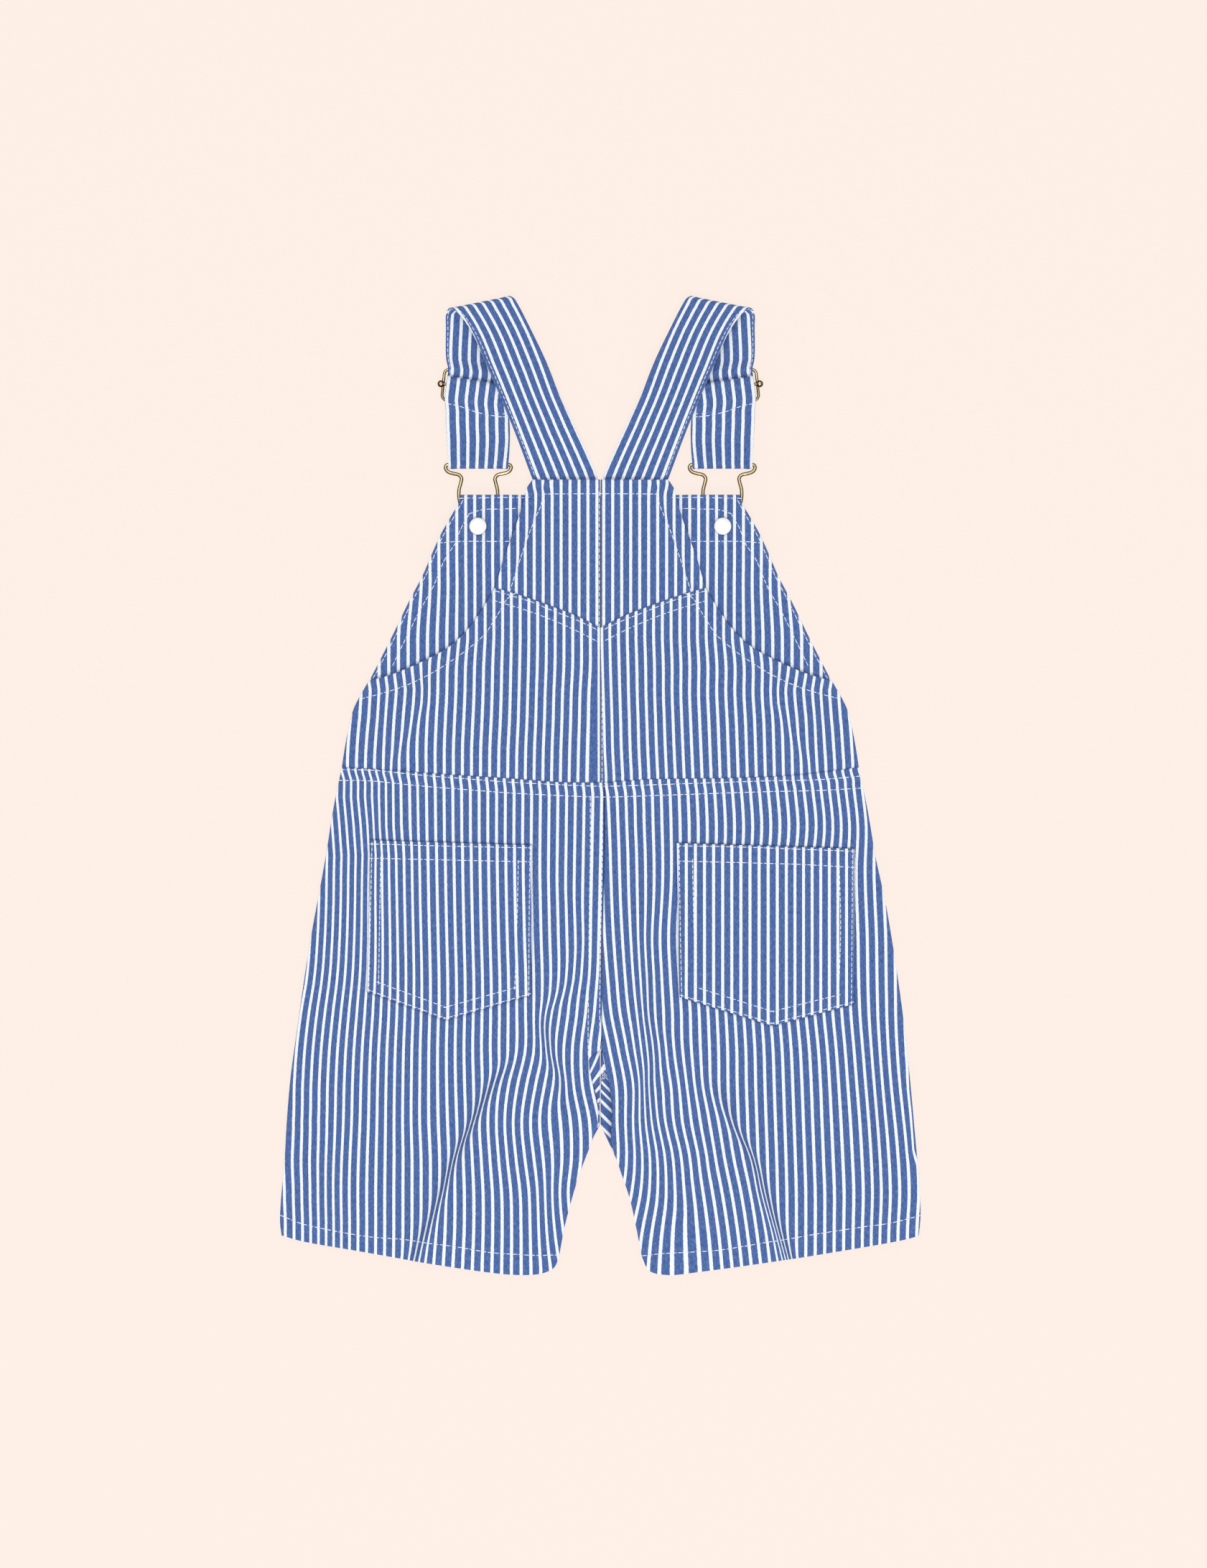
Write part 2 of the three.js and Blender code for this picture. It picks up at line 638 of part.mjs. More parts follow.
function strapRows() {
  const edgeRow = (row) => ({
    outer: new THREE.Vector3(row.outerX, row.outerY, row.outerZ),
    inner: new THREE.Vector3(row.innerX, row.innerY, row.innerZ),
  });
  const underYoke = (outerX, innerX, y) => {
    const height = (x) => backUnder(x * OUTER_DROP, Math.min(y, YOKE_TOP)) - STRAP_TUCK - STRAP_CLOTH / 2;
    return {
      outer: new THREE.Vector3(outerX, y, height(outerX)),
      inner: new THREE.Vector3(innerX, y, height(innerX)),
    };
  };
  const sewn = [
    underYoke(-32.4, -0.5, YOKE_TOP - STRAP_SEWN_DEPTH),
    underYoke(-33.4, -0.9, YOKE_TOP - 1),
    underYoke(-34.6, -1.6, YOKE_TOP + 2),
  ];
  const down = UNDER_SLIDER.map((row) => sliderRow(row.along, STRAP_SLIDER_HALF, row.z));
  const turn = [];
  const bend = BUCKLE.wire / 2 + SEAM + STRAP_CLOTH / 2;
  for (let k = 0; k <= TURN_STEPS; k += 1) {
    const angle = -Math.PI / 2 + (k / TURN_STEPS) * Math.PI;
    const y = BUCKLE.barY - bend * Math.cos(angle);
    turn.push(levelRow(y, STRAP_LOOP_HALF, BUCKLE.barZ + bend * Math.sin(angle)));
  }
  const up = OVER_SLIDER.map((row) => sliderRow(row.along, STRAP_SLIDER_HALF, row.z));
  const barTurn = [];
  for (let k = 0; k <= TURN_STEPS; k += 1) {
    const angle = Math.PI / 2 - (k / TURN_STEPS) * Math.PI;
    const z = SLIDER_BAR.z + BAR_TURN.rise * Math.sin(angle);
    const outer = sliderRow(BAR_TURN.outer * Math.cos(angle), STRAP_SLIDER_HALF, z).outer;
    const inner = sliderRow(BAR_TURN.inner * Math.cos(angle), STRAP_SLIDER_HALF, z).inner;
    barTurn.push({ outer, inner });
  }
  const end = SEWN_BACK_END.map((row) => sliderRow(row.along, STRAP_SLIDER_HALF, row.z));
  return [
    ...sewn,
    ...STRAP_BACK.map(edgeRow),
    ...STRAP_FOLD.map(edgeRow),
    ...down,
    levelRow(176, 15.8, 0.5),
    levelRow(167, 15.5, 0.5),
    ...turn,
    levelRow(166, 15.4, 3.1),
    levelRow(173, 15.7, 2.2),
    ...up,
    ...barTurn,
    ...end,
  ];
}

function addStraps() {
  const columns = 2;
  const stepsPerRow = 2;
  for (const [name, side] of [['left', 1], ['right', -1]]) {
    const rows = strapRows();
    const edges = ['outer', 'inner'].map((edge) => curveThrough(rows.map((row) => row[edge])));
    const steps = stepsPerRow * (rows.length - 1);
    const middle = [];
    for (let j = 0; j <= steps; j += 1) {
      const [outer, inner] = edges.map((edge) => edge.getPoint(j / steps));
      outer.z = Math.max(outer.z, STRAP_CLOTH / 2);
      inner.z = Math.max(inner.z, STRAP_CLOTH / 2);
      middle.push(Array.from({ length: columns + 1 }, (_, i) => outer.clone().lerp(inner, i / columns)));
    }
    const lower = [];
    const upper = [];
    middle.forEach((row, j) => {
      const before = middle[Math.max(j - 1, 0)];
      const after = middle[Math.min(j + 1, steps)];
      const across = row[columns].clone().sub(row[0]);
      row.forEach((point, i) => {
        const normal = after[i].clone().sub(before[i]).cross(across).normalize().multiplyScalar(STRAP_CLOTH / 2);
        lower.push(point.clone().sub(normal));
        upper.push(point.clone().add(normal));
      });
    });
    const mirror = (points) => points.map((point) => new THREE.Vector3(side * point.x, point.y, point.z));
    addPiece(`strap_${name}`, wallBody(columns, steps, mirror(lower), mirror(upper)), STRIPED_TWILL, 0);
  }
}

// Brass wire buckle, a closed hourglass loop from the strap down round the button's shank

function addBuckles() {
  const hookStart = 146;
  for (const [name, side] of [['left', -1], ['right', 1]]) {
    const halfPath = (across) => BUCKLE_HALF.map((row) => {
      const share = smooth((BUCKLE.barY - row.y) / (BUCKLE.barY - hookStart));
      const z = THREE.MathUtils.lerp(BUCKLE.barZ, BUCKLE.hookZ, share);
      return new THREE.Vector3(side * BUCKLE.x + across * row.half, row.y, z);
    });
    const path = [...halfPath(1), ...halfPath(-1).slice(1, -1).reverse()];
    addPiece(`buckle_wire_${name}`, closedWire(path, BUCKLE.wire, HOOK_SIDES), BRASS_WIRE, 1);
  }
}

// Adjuster slider: a rounded wire frame, and a bar across it held by a ball at each side

function sliderSolid() {
  const corner = 2.4;
  const cornerSteps = 3;
  const path = [];
  const corners = [[1, 1, 0], [-1, 1, 90], [-1, -1, 180], [1, -1, 270]];
  const sideZ = (y) => SLIDER.wire / 2 + SLIDER_BAR.sideRise * (1 - Math.abs(y) / SLIDER.halfHeight);
  for (const [sx, sy, start] of corners) {
    for (let k = 0; k <= cornerSteps; k += 1) {
      const angle = THREE.MathUtils.degToRad(start + (90 * k) / cornerSteps);
      const x = sx * (SLIDER.halfWidth - corner) + corner * Math.cos(angle);
      const y = sy * (SLIDER.halfHeight - corner) + corner * Math.sin(angle);
      path.push(new THREE.Vector3(x, y, sideZ(y)));
    }
    if (sx === sy) continue;
    path.push(new THREE.Vector3(sx * SLIDER.halfWidth, 0, sideZ(0)));
  }
  const frame = closedWire(path, SLIDER.wire, HOOK_SIDES);
  const bar = new THREE.CylinderGeometry(SLIDER.wire / 2, SLIDER.wire / 2, 2 * SLIDER_BAR.ballX, 8);
  bar.rotateZ(Math.PI / 2).translate(0, 0, SLIDER_BAR.z);
  let solid = toManifold(frame).add(toManifold(bar));
  for (const side of [-1, 1]) {
    const ball = new THREE.SphereGeometry(SLIDER_BAR.ball, 10, 6);
    ball.translate(side * SLIDER_BAR.ballX, 0, SLIDER_BAR.ballZ);
    solid = solid.add(toManifold(ball));
  }
  return fromManifold(solid);
}

function addSliders() {
  for (const [name, side] of [['left', -1], ['right', 1]]) {
    const geometry = sliderSolid();
    geometry.rotateZ(THREE.MathUtils.degToRad(side * SLIDER.tilt));
    geometry.translate(side * SLIDER.x, SLIDER.y, 0);
    addPiece(`slider_${name}`, geometry, BRASS_WIRE, 1);
  }
}

// Tack button: the head lies under the bib with the buckle hooked on its shank, and the white
// back of the tack lies on the cloth

function addButtons() {
  const around = 20;
  const shankTop = BUMP_LIFT - SEAM;
  const tackBottom = BUMP_LIFT + CLOTH + SEAM;
  const headProfile = [
    [0, 0],
    [BUTTON.headRadius - 0.9, 0],
    [BUTTON.headRadius, 0.9],
    [BUTTON.headRadius, 1.6],
    [BUTTON.headRadius - 0.8, BUTTON.headHeight],
    [BUTTON.shankRadius, BUTTON.headHeight],
    [BUTTON.shankRadius, shankTop],
    [0, shankTop],
  ];
  const tackProfile = [
    [0, tackBottom],
    [TACK.radius - 0.3, tackBottom],
    [TACK.radius, tackBottom + 0.4],
    [TACK.radius - 0.3, tackBottom + 1.1],
    [TACK.radius - 1.2, tackBottom + 1.6],
    [0, tackBottom + TACK.height],
  ];
  const turned = (profile) => new THREE.LatheGeometry(profile.map(([r, z]) => new THREE.Vector2(r, z)), around);
  for (const [name, side] of [['left', -1], ['right', 1]]) {
    for (const [piece, profile, color] of [['button', headProfile, BRASS_WIRE], ['tack', tackProfile, WHITE_ENAMEL]]) {
      const geometry = turned(profile).rotateX(Math.PI / 2).translate(side * BUTTON.x, BUTTON.y, 0);
      addPiece(`${piece}_${name}`, geometry, color, piece === 'button' ? 1 : 0);
    }
  }
}

addFront();
addBackLegs();
addBackTop();
addStraps();
addBuckles();
addSliders();
addButtons();

export default garment;
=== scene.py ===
# %% [markdown]
# # Striped shortalls, laid flat with the back showing
# The garment is sewn from flat panels of a blue and white striped cotton twill.
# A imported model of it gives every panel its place, and this lesson lays a finer
# cloth over each one. All tables are in millimetres, as a pattern cutter writes
# them, and become metres only where a mesh is made.

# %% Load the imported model
import math

import bmesh
import bpy
import numpy as np
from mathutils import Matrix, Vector
from mathutils.bvhtree import BVHTree


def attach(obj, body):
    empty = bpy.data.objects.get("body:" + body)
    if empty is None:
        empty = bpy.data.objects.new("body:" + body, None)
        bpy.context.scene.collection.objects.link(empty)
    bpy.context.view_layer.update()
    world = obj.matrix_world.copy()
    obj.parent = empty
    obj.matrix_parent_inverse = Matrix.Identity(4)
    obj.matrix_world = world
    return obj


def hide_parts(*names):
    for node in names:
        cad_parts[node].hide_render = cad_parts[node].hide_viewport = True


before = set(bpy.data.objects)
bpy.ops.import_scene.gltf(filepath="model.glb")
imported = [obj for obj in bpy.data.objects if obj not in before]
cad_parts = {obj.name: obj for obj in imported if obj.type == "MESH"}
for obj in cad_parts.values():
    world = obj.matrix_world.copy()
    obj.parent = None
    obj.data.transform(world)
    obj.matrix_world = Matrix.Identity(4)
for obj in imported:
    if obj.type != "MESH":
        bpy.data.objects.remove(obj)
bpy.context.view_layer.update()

MM = 0.001

# %% [markdown]
# ## The cut of the garment
# A real pattern is a set of outlines that share their seams, so that two panels
# meet without a gap. The outlines could be drawn as curves by hand in the
# viewport, but rows of named points keep both halves of each seam the same.
# `half` is a distance from the middle, for what is alike on both sides.

# %% Cloth and its seams
CLOTH = 1.2
STRAP_CLOTH = 1.0
POCKET_CLOTH = 0.8
SEAM = 0.3
POCKET_GAP = 0.1
FRONT_INSET = 0.6
WAIST_LAP, POINT_LAP = 0.7, 0.6  # how far the upper cloth laps over these seams
YOKE_TOP = 153.0
BIB_TOP = 145.4
SEAT_POINT = -170.6
REPEAT = 4.45  # a blue and a white stripe together
BIB_REPEAT = 4.48
SIDES = (("left", -1), ("right", 1))
print(f"cloth {CLOTH} mm, pockets {POCKET_CLOTH} mm and straps {STRAP_CLOTH} mm thick")

# %% Outlines above the waist
BIB_SIDE = [
    (69.7, 145.4), (70.7, 141.8), (75.1, 133.9), (80.1, 125.0),
    (88.7, 105.8), (95.9, 92.2), (104.6, 74.2), (116.1, 51.8),
]
UNDERARM_SIDE = [(116.1, 51.8), (123.3, 38.5), (125.8, 29.5), (128.0, 17.6), (129.4, 8.5)]
YOKE_SIDE = [(34.0, 153.0), (36.9, 148.3), (39.1, 139.0), (43.4, 126.7), (47.7, 114.5), (52.7, 98.6)]
YOKE_POINT_SEAM = [(0, 78.5), (13.1, 85.0), (27.5, 90.4), (41.9, 95.4), (52.7, 98.6)]
BACK_ARMHOLE = [
    (52.7, 98.6), (59.2, 87.8), (67.1, 77.0), (76.1, 68.8),
    (88.7, 61.9), (103.9, 55.4), (116.1, 51.8),
]
YOKE_POINT = YOKE_POINT_SEAM[0][1]
print(f"bib {BIB_TOP:.0f} mm high and {2 * BIB_SIDE[0][0]:.0f} mm wide at its top")

# %% Waist and seat
WAIST_LEFT = [(-129.4, 8.5), (-106.7, 7.2), (-77.9, 5.0), (-49.0, 3.2), (-20.3, 1.1), (0, 0.9)]
WAIST_RIGHT = [(0, 0.9), (22.9, 2.4), (66.1, 3.2), (94.9, 4.4), (129.4, 8.5)]
SEAT_SEAM = [(2.0, 0.9), (1.8, -38.2), (1.1, -74.2), (0.7, -104.0), (0.7, -132.0)]
CROTCH_LEFT = [(-5.6, -137.5), (-4.7, -146.2), (-1.8, -157.0), (-1.4, -170.0)]
CROTCH_RIGHT = [(1.8, -139.0), (3.6, -146.2), (5.4, -157.0), (5.8, -167.8), (5.4, -178.0)]
INNER_LEG_LEFT = [(-4.3, -178.6), (-10.4, -194.8), (-15.1, -210.2), (-18.4, -223.6), (-20.6, -236.0)]
INNER_LEG_RIGHT = [(9.4, -191.2), (14.8, -207.4), (18.0, -221.8), (20.8, -236.0)]
WAIST_MIDDLE = WAIST_LEFT[-1][1]
print(f"waist {2 * WAIST_RIGHT[-1][0]:.0f} mm across")

# %% Sides and hems of the legs
LEG_SIDE_LEFT = [
    (-129.4, 8.5), (-133.2, -9.4), (-137.9, -38.2), (-145.8, -81.4), (-151.9, -122.8),
    (-155.5, -149.8), (-158.4, -189.4), (-160.4, -218.0), (-159.6, -225.4),
]
LEG_SIDE_RIGHT = [
    (129.4, 8.5), (133.9, -13.0), (137.9, -36.4), (143.3, -61.6),
    (151.6, -115.6), (157.3, -171.4), (160.4, -214.0), (159.5, -225.6),
]
HEM_LEFT = [
    (-159.6, -225.4), (-149.8, -228.2), (-121.0, -233.3), (-70.6, -241.9),
    (-41.8, -245.2), (-29.2, -244.4), (-23.2, -241.6), (-20.6, -236.0),
]
HEM_RIGHT = [
    (159.5, -225.6), (152.6, -227.5), (102.2, -236.2), (51.8, -243.4),
    (33.0, -245.2), (24.4, -243.0), (20.8, -236.0),
]
print(f"hems {HEM_RIGHT[0][0] - HEM_LEFT[0][0]:.0f} mm across")

# %% Patch pockets
# top outer, top inner, lower outer and lower inner corner, and the point
POCKET_LEFT = [(-114.8, -27.4), (-34.2, -29.9), (-116.6, -103.0), (-34.9, -104.8), (-77.4, -117.4)]
POCKET_RIGHT = [(127.1, -31.7), (38.2, -28.8), (126.7, -109.4), (39.6, -105.8), (86.0, -120.2)]
print(f"pockets {POCKET_LEFT[1][0] - POCKET_LEFT[0][0]:.0f} and {POCKET_RIGHT[0][0] - POCKET_RIGHT[1][0]:.0f} mm wide")

# %% [markdown]
# ## Curves and spanned panels
# A seam line is a smooth curve through its points, read by its length. A panel
# is a net spanned between four such curves, called a Coons patch. Filling the
# outline with triangles would also work, but a net has rows and columns that
# follow the cloth, and its edges can be rounded like a folded hem.

# %% Smooth steps and curves
CURVE_STEPS = 24


def smooth(t):
    s = np.clip(t, 0.0, 1.0)
    return s * s * (3 - 2 * s)


def soft_step(t):
    """From 0 far below zero to 1 far above it."""
    return 1 / (1 + np.exp(-np.clip(t, -30, 30)))


def dense_curve(points, steps=CURVE_STEPS):
    """Centripetal Catmull-Rom curve: samples, with `steps` for each pair of points."""
    p = np.asarray(points, float)
    p = np.vstack([2 * p[0] - p[1], p, 2 * p[-1] - p[-2]])
    s = np.linspace(0, 1, steps, endpoint=False)[:, None]
    pieces = []
    for before, start, end, after in zip(p[:-3], p[1:-2], p[2:-1], p[3:]):
        a, b, c = (max(np.sum(d * d), 1e-9) ** 0.25 for d in (start - before, end - start, after - end))
        leave = ((start - before) / a - (end - before) / (a + b) + (end - start) / b) * b
        arrive = ((end - start) / b - (after - start) / (b + c) + (after - end) / c) * b
        bend = -3 * start + 3 * end - 2 * leave - arrive
        turn = 2 * start - 2 * end + leave + arrive
        pieces.append(start + leave * s + bend * s**2 + turn * s**3)
    return np.vstack(pieces + [p[-2:-1]])


print(f"the armhole's curve has {len(dense_curve(BACK_ARMHOLE))} samples")


# %% Curves read by their length
def curve(points, dx=0.0, dy=0.0):
    """A function of 0..1 along the length of the curve through the points."""
    dense = dense_curve(points) + np.array([dx, dy])
    run = np.concatenate([[0], np.cumsum(np.linalg.norm(np.diff(dense, axis=0), axis=1))])

    def at(t):
        where = np.atleast_1d(t) * run[-1]
        return np.column_stack([np.interp(where, run, dense[:, k]) for k in range(dense.shape[1])])

    return at


def sided(points, side):
    return [(side * half, y) for half, y in points]


def straight(a, b):
    return lambda t: np.outer(1 - np.atleast_1d(t), a) + np.outer(np.atleast_1d(t), b)


def joined(first, second, share):
    """Two curves as one; the first takes up `share` of it."""
    def at(t):
        t = np.atleast_1d(t)
        early = first(np.clip(t / share, 0, 1))
        late = second(np.clip((t - share) / (1 - share), 0, 1))
        return np.where((t < share)[:, None], early, late)

    return at


print("half way along the armhole:", curve(BACK_ARMHOLE)(0.5).round(1).tolist())


# %% Spanning a panel between its four edges
def spanned(top, bottom, left, right):
    """A Coons patch between four curves: a function of the shares across and down."""
    def meeting(edge, start, end):
        return lambda v: edge(v) + np.outer(1 - v, start - edge(0)[0]) + np.outer(v, end - edge(1)[0])

    corners = top(0)[0], top(1)[0], bottom(0)[0], bottom(1)[0]
    left_edge = meeting(left, corners[0], corners[2])
    right_edge = meeting(right, corners[1], corners[3])

    def net(u, v):
        a, b = u[None, :, None], v[:, None, None]
        across = top(u)[None] * (1 - b) + bottom(u)[None] * b
        down = left_edge(v)[:, None] * (1 - a) + right_edge(v)[:, None] * a
        flat = corners[0] * (1 - a) * (1 - b) + corners[1] * a * (1 - b)
        return across + down - flat - corners[2] * (1 - a) * b - corners[3] * a * b

    return net


# %% [markdown]
# ## How high the cloth lies
# The front lies on the table. The back lies on the front with a little air under
# it, rises over the buckles, and has long soft folds where the legs were laid
# down. Real cloth could be simulated, but these folds are known from the
# garment, so each is given as a soft ridge along a line.

# %% Soft folds of both layers
EDGE_GAP, LOFT, LOFT_EDGE, CROWN, CROWN_EDGE, LEAST_CLEARANCE = 0.5, 1.2, 14.0, 0.6, 60.0, 0.35
BUMP_LIFT = 4.7
BUMP_X, BUMP_FOOT, BUMP_FALL = (47, 84), 117, 20  # where the buckles and buttons lift both layers
TUCK, TUCK_RISE = 16, 10  # the yoke lifts a millimetre over the ends of the straps
FOLD_ENDS = 0.22  # share of a fold's length in which it fades
FOLDS = [  # start, bend, end, half width, rise
    ((-40, -134), (-66, -176), (-90, -238), 9, 2.0),
    ((-52, -136), (-78, -176), (-103, -236), 7, -1.2),
    ((-14, -120), (-22, -146), (-30, -178), 6, 1.1),
    ((-24, -116), (-36, -142), (-44, -172), 6, 0.9),
    ((60, -146), (78, -182), (100, -236), 9, 2.0),
    ((48, -146), (64, -182), (86, -240), 7, -1.2),
    ((14, -136), (22, -160), (34, -196), 7, 1.0),
    ((134, -126), (144, -172), (143, -222), 7, 1.2),
    ((-136, -120), (-141, -168), (-146, -218), 7, 0.8),
    ((-84, 60), (-92, 34), (-106, 10), 8, 1.4),
    ((84, 60), (92, 34), (106, 10), 8, 1.4),
]
FRONT_CREASES = [  # shallow troughs, seen only from below
    ((-34, -128), (-58, -170), (-84, -226), 5, 0.45), ((-122, -70), (-112, -118), (-126, -168), 6, 0.3),
    ((30, -120), (62, -158), (74, -214), 5, 0.4), ((118, -52), (128, -104), (120, -150), 6, 0.35),
    ((-14, -60), (-30, -84), (-36, -110), 4, 0.25), ((-58, 92), (-52, 58), (-70, 30), 6, 0.35),
    ((60, 84), (66, 48), (44, 20), 7, 0.3), ((96, 40), (104, 24), (100, 10), 4, 0.25),
]
print(f"{len(FOLDS)} soft folds on the back, {len(FRONT_CREASES)} shallow creases on the front")


# %% Height of a fold
def distance(x, y, chain):
    """Distance of each point to a chain of straight segments."""
    start, step = chain[:-1], np.diff(chain, axis=0)
    length2 = np.maximum((step**2).sum(1), 1e-9)
    flat = np.column_stack([x.ravel(), y.ravel()])
    out = np.empty(len(flat))
    for k in range(0, len(flat), 4000):
        rel = flat[k : k + 4000, None] - start[None]
        t = np.clip((rel * step).sum(2) / length2, 0, 1)
        out[k : k + 4000] = np.sqrt(((rel - t[..., None] * step) ** 2).sum(2).min(1))
    return out.reshape(x.shape)


def fold_height(x, y, folds=FOLDS):
    """Soft ridges and troughs, each along its own bent line."""
    height = np.zeros_like(x)
    t = np.linspace(0, 1, 11)[:, None]
    for start, bend, end, half, rise in folds:
        a, b, c = (np.array(p, float) for p in (start, bend, end))
        chain = a * (1 - t) ** 2 + 2 * b * t * (1 - t) + c * t**2
        run = (a[1] - y) / (a[1] - c[1])
        ends = smooth(run / FOLD_ENDS) * smooth((1 - run) / FOLD_ENDS + 0.4)
        height += rise * ends * np.exp(-((distance(x, y, chain) / half) ** 2))
    return height


# %% Heights of both layers
def front_under(x, y):
    """The front lies on the table, but over the buckles and buttons."""
    across = np.maximum.reduce([BUMP_X[0] - np.abs(x), np.abs(x) - BUMP_X[1], np.zeros_like(x)])
    return BUMP_LIFT * (1 - smooth(np.hypot(across, np.maximum(BUMP_FOOT - y, 0)) / BUMP_FALL))


OUTLINE = [
    dense_curve(rows, 6)
    for rows in [LEG_SIDE_LEFT, LEG_SIDE_RIGHT, HEM_LEFT, HEM_RIGHT, CROTCH_LEFT + INNER_LEG_LEFT,
                 CROTCH_RIGHT + INNER_LEG_RIGHT]
    + [sided(rows, side) for side in (-1, 1) for rows in (UNDERARM_SIDE, BACK_ARMHOLE, YOKE_SIDE)]
]


def back_under(x, y):
    """The back lies a little above the front, loose inside its outline and pressed flat along it."""
    inside = np.minimum.reduce([distance(x, y, chain) for chain in OUTLINE])
    loft = LOFT * smooth(inside / LOFT_EDGE) + CROWN * smooth(inside / CROWN_EDGE)
    tuck = smooth((y - (YOKE_TOP - TUCK)) / TUCK_RISE)
    return front_under(x, y) + CLOTH + np.maximum(EDGE_GAP + loft + tuck + fold_height(x, y), LEAST_CLEARANCE)


seat = back_under(np.array([60.0]), np.array([-80.0]))[0]
print(f"the seat lies {seat:.1f} mm above the table")

# %% [markdown]
# ## Sharp creases
# Where a fold was pressed in the packing, the cloth has a narrow valley with a
# steep bank on one side and a soft shoulder on the other. They are far too fine
# for the model's panels, so they are added to the fine cloth only.

# %% Creases of the legs
CREASES = [  # line from the top down, side of its shoulder, height, reach of the shoulder
    ([(-42, -133), (-47, -141), (-53, -149), (-59, -160), (-66.5, -175), (-73, -189), (-79, -204), (-85, -219),
      (-88.5, -226), (-93, -239)], 1, 1.5, 9.0),
    ([(-26, -112), (-26, -124), (-22, -138), (-18, -152), (-16, -166)], 1, 0.7, 7.0),
    ([(52, -144), (61, -157), (66, -170), (73.5, -184), (80.5, -200), (86, -215), (91.5, -229), (94.5, -238)],
     -1, 1.5, 9.0),
    ([(24, -84), (23, -112), (25, -134), (24, -150), (23, -168)], -1, 0.6, 7.0),
    ([(134, -140), (139, -170), (139, -205), (137, -226)], 1, 0.5, 8.0),
    ([(-88, 59), (-92, 38), (-104, 12)], -1, 0.45, 8.0),
    ([(88, 59), (92, 38), (104, 12)], 1, 0.45, 8.0),
]
BANK_WIDTH = 0.7
VALLEY_SHARE, VALLEY_OFF, VALLEY_WIDTH = 0.35, 1.5, 2


def beside_crease(x, y, line, side):
    """Distance past a crease on its shoulder's side, and how strong it is there."""
    chain = dense_curve(line, 5)
    middle = np.interp(-y, -chain[:, 1], chain[:, 0])
    away = np.sign(x - middle) * distance(x, y, chain) * side
    run = (chain[0, 1] - y) / (chain[0, 1] - chain[-1, 1])
    return away, smooth(run / 0.2) * smooth((1 - run) / 0.1 + 0.6)


def crease_height(x, y):
    """A steep bank with a soft shoulder behind it and a narrow valley before it."""
    height = np.zeros_like(x)
    for line, side, rise, reach in CREASES:
        away, ends = beside_crease(x, y, line, side)
        shoulder = soft_step(away / BANK_WIDTH) * np.exp(-np.maximum(away, 0) / reach)
        valley = VALLEY_SHARE * np.exp(-((away + VALLEY_OFF) / VALLEY_WIDTH) ** 2)
        height += rise * ends * (shoulder - valley)
    return height


print(f"{len(CREASES)} sharp creases")

# %% Shadows that lie in narrow gaps
CREASE_DARK, CREASE_WIDTH = 0.14, 2.2
EDGE_DARK, POCKET_EDGE_WIDTH, SEAM_EDGE_WIDTH = 0.35, 0.7, 0.8


def crease_shade(x, y):
    """Darker in the valley beside each crease."""
    light = np.ones_like(x)
    for line, side, rise, reach in CREASES:
        away, ends = beside_crease(x, y, line, side)
        light *= 1 - CREASE_DARK * rise * ends * np.exp(-((away + 1.2) / CREASE_WIDTH) ** 2)
    return light


def line_shade(x, y, chain, dark, width):
    """The thin painted shadow where one edge lies on the cloth below it."""
    return 1 - dark * np.exp(-((distance(x, y, np.array(chain, float)) / width) ** 2))


print(f"{EDGE_DARK:.0%} darker where an edge lies on the cloth below")

# %% [markdown]
# ## The stripes
# The stripes are woven in, so they follow every pull of the cloth and vanish
# into its creases. A pattern in flat object space would slice straight through
# a fold. Instead each panel gets a UV map that counts stripes across and
# millimetres along. The count comes from a few given rows: how wide a
# stripe is at each height, and how much cloth a crease swallows there.

# %% Stripe counts of the legs
# y, x of the counted stripe, pitch near the side, pitch inward, then three creases: cloth taken, x, width
LEFT_STRIPES = [
    (0, -82.6, 3.52, 4.39, 0, -42.0, 2.0, 0, -26.0, 6.0, 0, -49, 9),
    (-42, -82.1, 3.65, 4.32, 0, -42.0, 2.0, 0, -24.0, 6.0, 0, -49, 9),
    (-60, -81.8, 3.67, 4.32, 0, -42.0, 2.0, 0.7, -12.0, 3.0, 0, -49, 9),
    (-78, -81.4, 3.72, 4.32, 0, -42.0, 2.0, 1.6, -7.6, 2.2, 0, -49, 9),
    (-96, -81.0, 3.83, 4.34, 0, -42.0, 2.0, 3.1, -14.8, 4.3, 0, -49, 9),
    (-114, -81.0, 4.03, 4.36, 0, -43.0, 2.0, 4.9, -28.0, 1.8, 0, -49, 9),
    (-132, -81.4, 4.15, 4.39, 0, -44.0, 2.0, 7.2, -26.3, 1.8, 0, -49, 9),
    (-150, -81.4, 4.22, 4.50, 5.0, -54.7, 1.6, 3.6, -19.0, 1.8, 0, -49, 9),
    (-168, -81.0, 4.28, 4.75, 6.9, -63.7, 0.9, -1.8, -23.0, 3.0, 4.9, -49, 9),
    (-186, -80.3, 4.50, 4.72, 6.7, -72.7, 0.8, -0.4, -24.0, 3.5, 3.4, -51, 9),
    (-204, -80.3, 4.55, 4.72, 6.5, -78.8, 1.0, 4.5, -25.6, 3.6, 0.6, -51, 9),
    (-222, -80.3, 4.55, 4.75, 6.8, -86.0, 1.6, 3.2, -26.6, 3.6, 0, -51, 9),
    (-242, -80.3, 4.55, 4.90, 8.3, -94.5, 2.6, 0, -27.0, 3.6, 0, -51, 9),
]
